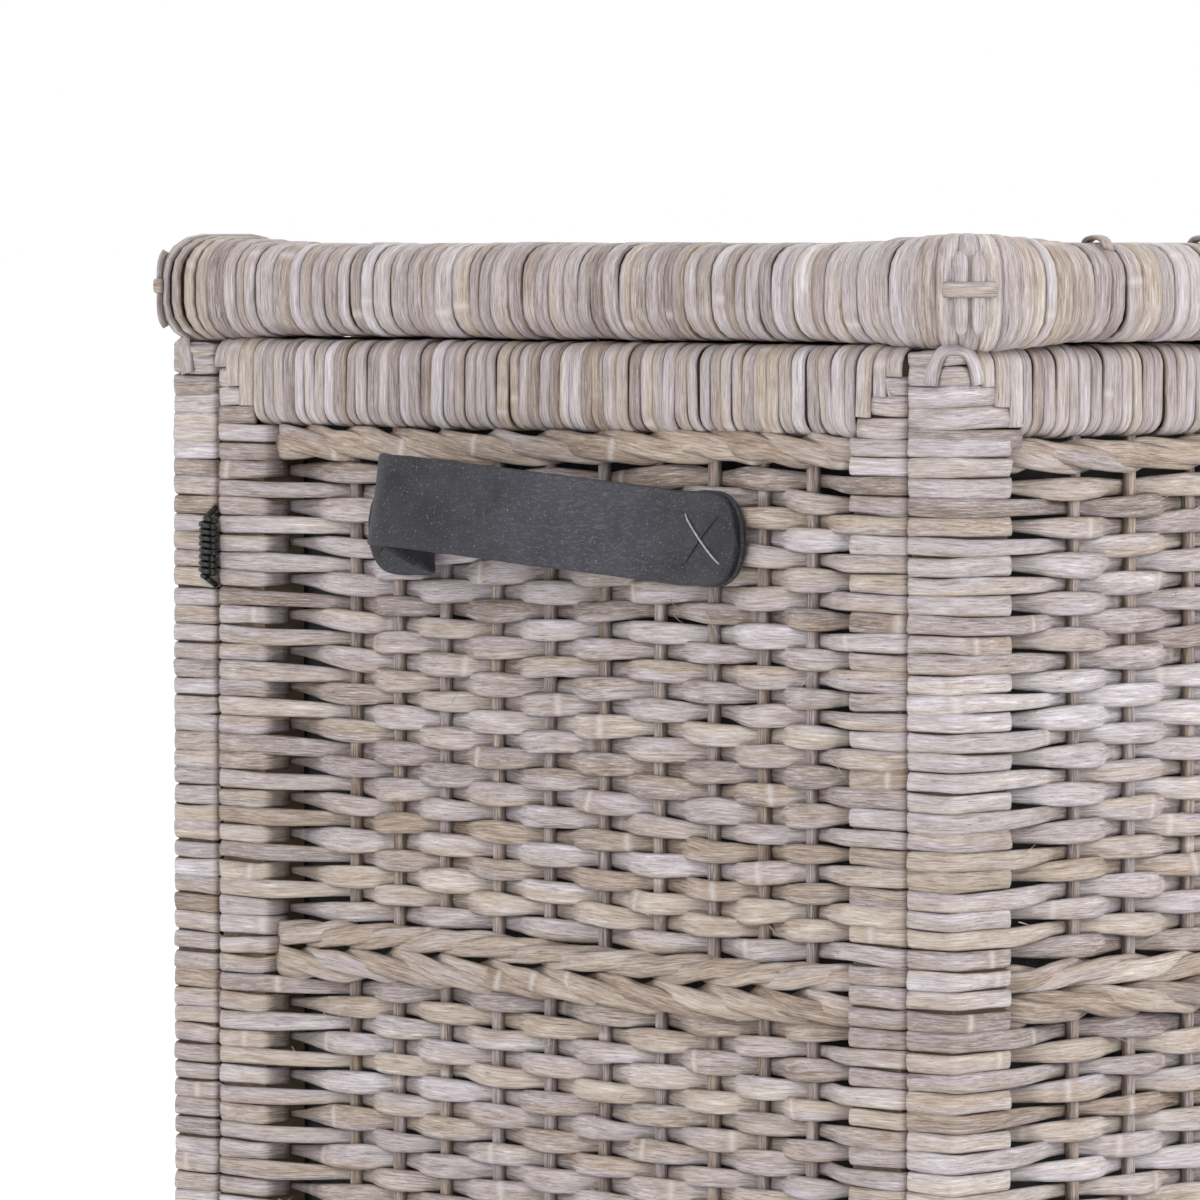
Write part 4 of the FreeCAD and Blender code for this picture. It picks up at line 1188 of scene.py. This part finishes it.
def bind_corner(bundle, pivot, x_sign, y_sign, size, bottom, top):
    step = math.pi / 2 / CORNER_STRIPS

    def outward(angle):
        return np.array([x_sign * math.cos(angle), y_sign * math.sin(angle), 0.0])

    def ring_strip(angle, spread, lift, tone):
        reach = corner_reach(angle, size) - STRIP_THICK / 2 + 0.2
        points, normals = rail_loop(reach, bottom, top, LID_EDGE_RADIUS, STRIP_THICK / 2, 5, 4)
        away = outward(angle)
        radial = reach - points[:, 0] + lift * -normals[:, 0]
        height = points[:, 1] + lift * normals[:, 1]
        place = np.array([*pivot, 0.0]) + radial[:, None] * away + height[:, None] * UP
        width = CORNER_OVERLAP * radial * math.tan(spread / 2)
        width = np.clip(width, CORNER_NARROWEST, None)
        facing = -normals[:, :1] * away + normals[:, 1:] * UP
        sideways = np.cross(UP, away)
        bundle.add(place, sideways, width, STRIP_THICK * 1.2, facing, tone, closed=True)

    for number in range(CORNER_STRIPS):
        angle = step * (number + 0.5)
        middle = 1 - abs(number - (CORNER_STRIPS - 1) / 2) / (CORNER_STRIPS / 2)
        lift = LID_BULGE + CORNER_BULGE * middle
        lift += rng.uniform(-CORNER_SCATTER, CORNER_SCATTER)
        ring_strip(angle, step, lift, tone_of(0.64))
    lash_corner(bundle, pivot, outward, size, bottom, top)


def lash_corner(bundle, pivot, outward, size, bottom, top):
    """Two upright round-ended strips on the corner, tied across by a level one."""
    middle = math.pi / 4
    away = outward(middle)
    beside = np.cross(UP, away)
    reach = corner_reach(middle, size) + LID_BULGE + 1.9
    centre = np.array([*pivot, 0.0]) + reach * away
    for shift in (-LASH_SHIFT, LASH_SHIFT):
        share = np.linspace(-1, 1, 15)
        z = (bottom + top) / 2 + LASH_REACH * share
        tuck = 2.6 * np.abs(share) ** 5 + 0.7
        place = centre + shift * beside - tuck[:, None] * away + z[:, None] * UP
        width = LASH_WIDTH * np.clip(1 - np.abs(share) ** 9, 0.08, 1) ** 0.5
        bundle.add(place, beside, width, 3.0, away, tone_of(0.56, 0.04))
    share = np.linspace(-1, 1, 11)
    rise = (1.0 - 3.0 * share**4)[:, None] * away
    place = centre + (share * LASH_ACROSS)[:, None] * beside + rise
    place = place + ((bottom + top) / 2 + 1.5) * UP
    bundle.add(place, UP, 6.6, 2.8, away, tone_of(0.52, 0.04))


class FlatPanel:
    """A woven panel lying flat: u along X, rows stacked along Y, v into its thickness."""

    def __init__(self, low, high, face_up, count, step):
        self.along = X_AXIS
        self.up = Y_AXIS
        self.inward = np.array([0, 0, -1.0 if face_up else 1.0])
        self.origin = np.array([low[0], 0.0, high[2] if face_up else low[2]])
        self.run = high[0] - low[0]
        self.depth = high[2] - low[2]
        self.axis = self.depth / 2
        self.post = 0.0
        self.stakes = spread_stakes(self.run / count / 2, self.run * (1 - 0.5 / count), count)
        self.step = step
        self.low, self.high = low[1], high[1]
        self.sway = rng.uniform(0, 6.28, 3)
        self.end_face = False

    world = Side.world
    turn = Side.turn


FLAT_TUCK = 4.0


def weave_flat(panel, name, material, body, slot, replaced, swing=WEAVE_SWING):
    """Plain weave that fills a flat panel from edge to edge."""
    bundle = Bundle()
    for number, row in enumerate(row_heights(panel.low, panel.high)):
        u = np.arange(-FLAT_TUCK, panel.run + FLAT_TUCK + panel.step / 2, panel.step)
        count = len(panel.stakes)
        phase = (u / panel.run) * count - 0.5 + number % 2
        v, width = over_under(panel.axis, phase, swing, 0.8, 2.0)
        tones = spliced_tones(u, panel.stakes, number % 2, tone_of())
        level = row + 0.5 * np.sin(u / 80 + row / 60 + panel.sway[0]) + noise_line(len(u), 0.3)
        lay_strand(bundle, panel, (u, v, width), row, tones, STRAND_THICK, level)
    bundle.build(name, material, body, slot, replaced)


def lid_stake_canes(panel):
    bundle = Bundle()
    rows = np.linspace(panel.low + 1, panel.high - 1, 30)
    count = len(panel.stakes)
    for number in range(count):
        u = panel.run * (number + 0.5) / count
        points = panel.world(u + noise_line(30, 0.3), panel.axis, rows)
        tone = tone_of(0.42, 0.08)
        bundle.add(points, panel.along, STAKE_WIDTH, STAKE_THICK, -panel.inward, tone)
    bundle.build("lid_stake_canes", STAKE, "lid", "stake_cane", ["lid_stakes"])


# --- cloth linings ---


def cloth_piece(name, vertices, faces, body, node):
    mesh = bpy.data.meshes.new(name)
    mesh.from_pydata(vertices, [], faces)
    mesh.polygons.foreach_set("use_smooth", np.ones(len(mesh.polygons), bool))
    return finish_piece(mesh, name, LINING, body, [node])


def wall_ripple(x, y, z):
    return 0.8 * math.sin(x * 31 + z * 17) + 0.6 * math.sin(y * 37 - z * 23)


LINER_CORNER = 12.0
LINER_GAP = 1.0
RIPPLE_PULL = 0.0022


def hang_liner():
    """A cloth bag against the walls and the floor, open at the top."""
    low, high = box_mm("liner")
    low += LINER_GAP
    high[:2] -= LINER_GAP
    ring = centred_loop(high[:2], LINER_CORNER, 6, 25)
    levels = np.linspace(low[2] + 6, high[2], 22)
    vertices, faces = [], []
    count = len(ring)
    rows = [(ring * inset, low[2]) for inset in (0.0, 0.35, 0.7, 0.93, 0.98)]
    rows += [(ring * (1 - 0.012 + 0.006 * i), low[2] + 2.0 * i) for i in range(1, 3)]
    rows += [(ring, z) for z in levels]
    for outline, z in rows:
        for x, y in outline:
            pull = 1 - max(0.0, wall_ripple(x * MM, y * MM, z * MM)) * RIPPLE_PULL
            vertices.append((x * pull * MM, y * pull * MM, z * MM))
    for row in range(len(rows) - 1):
        for i in range(count):
            j = (i + 1) % count
            lower, upper = row * count, (row + 1) * count
            faces.append((lower + i, lower + j, upper + j, upper + i))
    piece = cloth_piece("cloth_liner", vertices, faces, "trunk", "liner")


LINING_HEM = 3.5
LINING_SAG = 0.3


def stretch_lid_lining():
    """A cloth panel pulled flat under the lid's braces, its hem tucked into the frame."""
    low, high = box_mm("lid_lining")
    low[:2] -= LINING_HEM
    high[:2] += LINING_HEM
    z = (low[2] + high[2]) / 2
    xs = np.linspace(low[0], high[0], 41)
    ys = np.linspace(low[1], high[1], 23)
    vertices = []
    for y in ys:
        for x in xs:
            sag = math.sin(x * 0.021) * math.sin(y * 0.017) * LINING_SAG
            vertices.append((x * MM, y * MM, (z + sag) * MM))
    faces = []
    for j in range(len(ys) - 1):
        for i in range(len(xs) - 1):
            a = j * len(xs) + i
            faces.append((a, a + len(xs), a + len(xs) + 1, a + 1))
    piece = cloth_piece("lid_cloth", vertices, faces, "lid", "lid_lining")


# --- leather handles ---

STRAP_THICK = 3.5
STRAP_WIDTH = 40.0
STRAP_FRONT_TAB = 36.0
STRAP_REAR_TAB = 34.5
LIFT_RADIUS = 53.25
LIFT_ANGLE = 19.0
CURL_RADIUS = 12.75
HEEL_RADIUS = 6.25
STRAP_RISE = 14.0
STRAP_FOOT = 0.75
STRAP_FLARE = -0.22
STRAP_FLARE_AT = 42.0
STRAP_END_RADIUS = 16.0
# Where the painted sheen and the scuffs of wear are strongest along the strap, and how far they
# reach.
SHEEN_AND_WEAR_MIDDLE = 78.0
SHEEN_AND_WEAR_RUN = 42.0
BACKING_OUT = 1.5
BACKING_RADIUS = 17.0
BACKING_DEEP = -2.0
STITCH_ALONG = 11.0
STITCH_RISE = 11.5
STITCH_BOW = 1.1
HOLE_ALONG = 11.4
HOLE_RISE = 11.9
THREAD_SIZE = 0.8
HOLE_SIZE = 2.4
FRONT_STITCH = 18.6
REAR_STITCH = 17.0


def strap_route(length):
    """The strap's middle line as (along, out, rise), from front tab to rear tab."""
    angle = math.radians(LIFT_ANGLE)
    return_at = length - STRAP_REAR_TAB - HEEL_RADIUS
    points = []

    def arc(x, y, radius, start, end, count):
        for turn in np.radians(np.linspace(start, end, count)):
            points.append((x + radius * math.cos(turn), y + radius * math.sin(turn)))

    def straight(target, step=3.0):
        origin = np.array(points[-1])
        gap = np.array(target) - origin
        count = max(2, int(np.linalg.norm(gap) / step))
        for share in np.linspace(0, 1, count + 1)[1:-1]:
            points.append(tuple(origin + share * gap))

    points.append((0.0, STRAP_FOOT))
    straight((STRAP_FRONT_TAB, STRAP_FOOT), 1.5)
    arc(STRAP_FRONT_TAB, STRAP_FOOT + LIFT_RADIUS, LIFT_RADIUS, -90, LIFT_ANGLE - 90, 8)
    lift_x, lift_y = points[-1]
    curl_x = return_at - CURL_RADIUS
    start_x = curl_x - CURL_RADIUS * math.sin(angle)
    start_y = lift_y + (start_x - lift_x) * math.tan(angle)
    curl_y = start_y - CURL_RADIUS * math.cos(angle)
    straight((start_x, start_y))
    arc(curl_x, curl_y, CURL_RADIUS, 90 + LIFT_ANGLE, 0, 14)
    straight((return_at, STRAP_FOOT + HEEL_RADIUS))
    arc(return_at + HEEL_RADIUS, STRAP_FOOT + HEEL_RADIUS, HEEL_RADIUS, 180, 270, 8)
    straight((length, STRAP_FOOT), 1.5)
    points.append((length, STRAP_FOOT))
    flat = np.array(points)
    climbing = np.clip((flat[:, 0] - STRAP_FRONT_TAB) / (start_x - STRAP_FRONT_TAB), 0, 1)
    falling = np.clip((flat[:, 1] - STRAP_FOOT) / (curl_y - STRAP_FOOT), 0, 1)
    beyond = flat[:, 0] > curl_x + CURL_RADIUS * 0.9
    rise = STRAP_RISE * np.where(beyond, falling, climbing)
    return np.column_stack([flat, smooth(rise, 3)])


def round_ends(points, width, radius):
    """Widths along a strip whose two ends are rounded."""
    steps = np.linalg.norm(np.diff(points, axis=0), axis=1)
    along = np.concatenate([[0], np.cumsum(steps)])
    from_end = np.minimum(along, along[-1] - along)
    share = np.clip(from_end / radius, 0, 1)
    return width * np.clip((1 - (1 - share) ** 2.4), 0.02, 1) ** (1 / 2.4)


def end_dense(points, radius, count=9):
    """Adds points near both ends, so that their rounding is smooth."""
    share = 1 - np.cos(np.linspace(0, math.pi / 2, count))
    start, first = points[0], points[1] - points[0]
    end, last = points[-1], points[-2] - points[-1]
    first = first / np.linalg.norm(first)
    last = last / np.linalg.norm(last)
    head = start + share[:, None] * radius * first
    tail = (end + share[:, None] * radius * last)[::-1]
    inner = np.linalg.norm(points - start, axis=1) > radius * 1.02
    inner &= np.linalg.norm(points - end, axis=1) > radius * 1.02
    return np.concatenate([head, points[inner], tail])


class Wall:
    """The end wall that a handle is stitched to: along it, out of it, and up."""

    def __init__(self, name):
        self.name = name
        low, high = box_mm(f"{name}_handle")
        posts_low, posts_high = box_mm(f"{name}_post_wraps")
        sign = -1.0 if name == "left" else 1.0
        face = posts_low[0] if name == "left" else posts_high[0]
        self.out = np.array([sign, 0.0, 0.0])
        self.origin = np.array([face, low[1], (low[2] + high[2] - STRAP_RISE) / 2])
        self.length = high[1] - low[1]

    def place(self, a, o, z):
        a, o, z = np.broadcast_arrays(a, o, z)
        return self.origin + a[..., None] * Y_AXIS + o[..., None] * self.out + z[..., None] * UP


def stitch_handle(name):
    wall = Wall(name)
    lay_strap(wall)
    lay_backings(wall)
    sew_strap(wall)


def lay_strap(wall):
    """The leather strap, whose lower edge stands out further where it leaves the wall."""
    route = end_dense(strap_route(wall.length), STRAP_END_RADIUS)
    along, out, rise = route.T
    place = wall.place(along, out, rise)
    tilt = STRAP_FLARE * np.clip(out / STRAP_FLARE_AT, 0, 1) ** 1.5
    side = tilt[:, None] * wall.out + UP
    facing = np.cross(np.gradient(place, axis=0), side)
    facing = facing * np.sign(facing[2] @ wall.out)
    width = round_ends(route, STRAP_WIDTH, STRAP_END_RADIUS)
    before_tab = along < wall.length - STRAP_REAR_TAB
    # Painted light and wear: strongest around the strap's middle and gone on its rear tab; it
    # paints a lighter sheen there and sets where the scuffs go.
    sheen_and_wear = np.exp(-(((along - SHEEN_AND_WEAR_MIDDLE) / SHEEN_AND_WEAR_RUN) ** 2)) * before_tab
    strap = Bundle(STRAP_RING)
    strap.add(place, side, width, STRAP_THICK, facing, sheen_and_wear)
    name = wall.name
    strap.build(f"{name}_leather_strap", LEATHER, "trunk", "black_leather", [f"{name}_handle"])


def lay_backings(wall):
    """A darker patch of leather behind each end of the strap."""
    backing = Bundle(STRAP_RING)
    rear = wall.length - STRAP_REAR_TAB - 2
    ends = ((-BACKING_OUT, STRAP_FRONT_TAB + 2), (rear, wall.length + BACKING_OUT))
    for start, end in ends:
        line = np.linspace(start, end, 14)
        path = np.column_stack([line, np.full(14, BACKING_DEEP), np.zeros(14)])
        path = end_dense(path, BACKING_RADIUS)
        width = round_ends(path, STRAP_WIDTH + 0.8, BACKING_RADIUS)
        backing.add(wall.place(*path.T), UP, width, 2.0, wall.out, 0.5)
    backing.build(f"{wall.name}_handle_backing", BACKING, "trunk", "black_leather")


def sew_strap(wall):
    """A crossed pair of stitches at each end, one pale and one dark, with their holes drawn as
    dark discs of painted shade.
    """
    thread = Bundle(ROUND_RING)
    holes = Bundle(ROUND_RING)
    face = STRAP_FOOT + STRAP_THICK / 2
    share = np.linspace(-1, 1, 13)
    for middle in (FRONT_STITCH, wall.length - REAR_STITCH):
        for lean, strand, proud in ((1, thread, 0.45), (-1, holes, 0.0)):
            a = middle + share * STITCH_ALONG + STITCH_BOW * (1 - share**2)
            o = face + 0.5 - 1.6 * np.abs(share) ** 8 + proud * (1 - share**2)
            line = wall.place(a, o, share * lean * STITCH_RISE)
            strand.add(line, UP, THREAD_SIZE, THREAD_SIZE, wall.out, 0.5)
            # Each hole is a dark leather disc on the strap's face: painted shade of the hole.
            for sign in (-1, 1):
                a, z = middle + sign * HOLE_ALONG, sign * lean * HOLE_RISE
                spot = wall.place(a, np.array([face - 0.3, face + 0.12]), z)
                holes.add(spot, UP, HOLE_SIZE, HOLE_SIZE, Y_AXIS, 0.5)
    thread.build(f"{wall.name}_handle_thread", THREAD, "trunk", "waxed_thread")
    holes.build(f"{wall.name}_stitch_holes", BACKING, "trunk", "black_leather")


# --- coil ties ---

COIL_TURNS = 9
COIL_POINTS = 18
COIL_RADIUS = 3.15
COIL_LENGTH = 26.0
WIRE_SIZE = 2.6
HOOK_REACH = 7.0


def wind_ties():
    bundle = Bundle(ROUND_RING)
    low, high = box_mm("corner_ties")
    y = (low[1] + high[1]) / 2
    centre_out = WIRE_SIZE / 2 + COIL_RADIUS
    for x_sign in (-1, 1):
        x = (high[0] - centre_out) * x_sign
        for middle in (low[2] + centre_out * 3, high[2] - centre_out * 3):
            share = np.linspace(0, 1, COIL_TURNS * COIL_POINTS)
            angle = 2 * np.pi * COIL_TURNS * share
            radius = COIL_RADIUS * np.clip(np.minimum(share, 1 - share) * 14 + 0.55, 0, 1)
            px = x + radius * np.cos(angle) * x_sign
            py = y + radius * np.sin(angle)
            pz = middle + (share - 0.5) * COIL_LENGTH
            hook = np.linspace(1, 0, 6)[:-1, None]
            body = np.column_stack([px, py, pz])
            start = body[0] + hook * np.array([-HOOK_REACH * x_sign, 0.5, -4.0])
            end = (body[-1] + hook * np.array([-HOOK_REACH * x_sign, 0.5, 5.0]))[::-1]
            points = np.concatenate([start, body, end])
            facing = np.array([x_sign, 0.3, 0.1])
            bundle.add(points, UP, WIRE_SIZE, WIRE_SIZE, facing, 0.5)
    bundle.build("wire_coil_ties", WIRE, "trunk", "black_wire", ["corner_ties"])


# --- what stays from the frame ---


def dress_frame():
    finishes = {
        "dark_metal": METAL,
        "pole_wood": POLE,
        "stake_cane": POLE,
        "woven_cane": WOVEN,
        "wrapped_cane": WRAPPED,
        "black_leather": BACKING,
        "waxed_thread": THREAD,
        "lining_cloth": LINING,
        "black_wire": WIRE,
    }
    slots = {item["node"]: item["material_slot"] for item in frame["record"]["subparts"]}
    for name, piece in frame["nodes"].items():
        piece.data.materials.clear()
        piece.data.materials.append(finishes[slots[name]])


# --- studio ---


FLOOR_SIZE = 200.0


def make_studio():
    world = bpy.data.worlds.new("studio")
    world.use_nodes = True
    sky = world.node_tree.nodes["Background"]
    sky.inputs["Color"].default_value = (1.0, 1.0, 1.0, 1.0)
    sky.inputs["Strength"].default_value = 1.0
    bpy.context.scene.world = world
    bpy.context.scene.view_settings.view_transform = "Standard"

    mesh = bpy.data.meshes.new("studio_floor")
    signs = ((-1, -1), (1, -1), (1, 1), (-1, 1))
    corners = [(x * FLOOR_SIZE, y * FLOOR_SIZE, 0) for x, y in signs]
    mesh.from_pydata(corners, [], [(0, 1, 2, 3)])
    material, tree, shader = new_material("studio_floor")
    clouds = grain(tree, object_vector(tree), 2.0)
    colour = ramp(tree, clouds, [(0.0, (0.93, 0.93, 0.93)), (1.0, (0.96, 0.96, 0.96))])
    tree.links.new(colour, shader.inputs["Base Color"])
    shader.inputs["Roughness"].default_value = 0.9
    shader.inputs["Emission Color"].default_value = (1.0, 1.0, 1.0, 1.0)
    shader.inputs["Emission Strength"].default_value = 0.12
    mesh.materials.append(material)
    show("studio_floor", mesh)

    lamps = (
        ("key", (0.9, -3.2, 2.3), 1.3, 46.0),
        ("left", (-3.4, -0.9, 2.4), 1.6, 30.0),
    )
    for name, place, size, power in lamps:
        lamp = bpy.data.lights.new(name, "AREA")
        lamp.size = size
        lamp.energy = power
        holder = show(name, lamp)
        holder.location = place
        aim = Vector((0, 0, 0.35)) - Vector(place)
        holder.rotation_euler = aim.to_track_quat("-Z", "Y").to_euler()


CAMERA_DISTANCE = 3.566
CAMERA_BESIDE = 0.1457
CAMERA_LENS = 261.0
CAMERA_PITCH = 2.34


def set_camera():
    """Level with the lid's top, looking at the front left corner along the diagonal."""
    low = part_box("front_rim_wrap")[0]
    lid_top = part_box("lid_front_wrap")[1].z
    diagonal = Vector((1, 1, 0)).normalized()
    rightward = Vector((1, -1, 0)).normalized()
    corner = Vector((low.x, low.y, lid_top))
    place = corner - diagonal * CAMERA_DISTANCE - rightward * CAMERA_BESIDE
    camera = bpy.data.cameras.new("camera")
    camera.lens = CAMERA_LENS
    camera.sensor_width = 36.0
    camera.clip_end = 1000.0
    holder = show("camera", camera)
    pitch = math.radians(CAMERA_PITCH)
    forward = diagonal * math.cos(pitch) - Vector((0, 0, math.sin(pitch)))
    holder.location = place
    holder.rotation_euler = forward.to_track_quat("-Z", "Y").to_euler()
    bpy.context.scene.camera = holder


# --- the trunk ---

dress_frame()
for side_name, stake_count in (
    ("front", LONG_STAKES),
    ("back", LONG_STAKES),
    ("left", SHORT_STAKES),
    ("right", SHORT_STAKES),
):
    panel = make_side(side_name, stake_count)
    weave_panel(panel)
    stand_stakes(panel)
    wrap_edge(panel, "rim", -1.0, 0.60)
    wrap_edge(panel, "base", 1.0, 0.55)
    fill_rails(panel)
    wrap_lid(Side(side_name, *box_mm(f"lid_{side_name}_wrap")))
bind_corners()
frame_lid()
lid_panel = FlatPanel(*box_mm("lid_weave"), face_up=True, count=LONG_STAKES - 1, step=5.0)
weave_flat(lid_panel, "lid_weave_canes", WOVEN, "lid", "woven_cane", ["lid_weave"])
lid_stake_canes(lid_panel)
floor_panel = FlatPanel(*box_mm("base_weave"), face_up=False, count=LONG_STAKES - 1, step=8.0)
weave_flat(floor_panel, "base_weave_canes", WOVEN, "trunk", "woven_cane", ["base_weave"], 2.4)
hang_liner()
stretch_lid_lining()
stitch_handle("left")
stitch_handle("right")
wind_ties()
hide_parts("handle_stitches")
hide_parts("handle_backings")
make_studio()
set_camera()
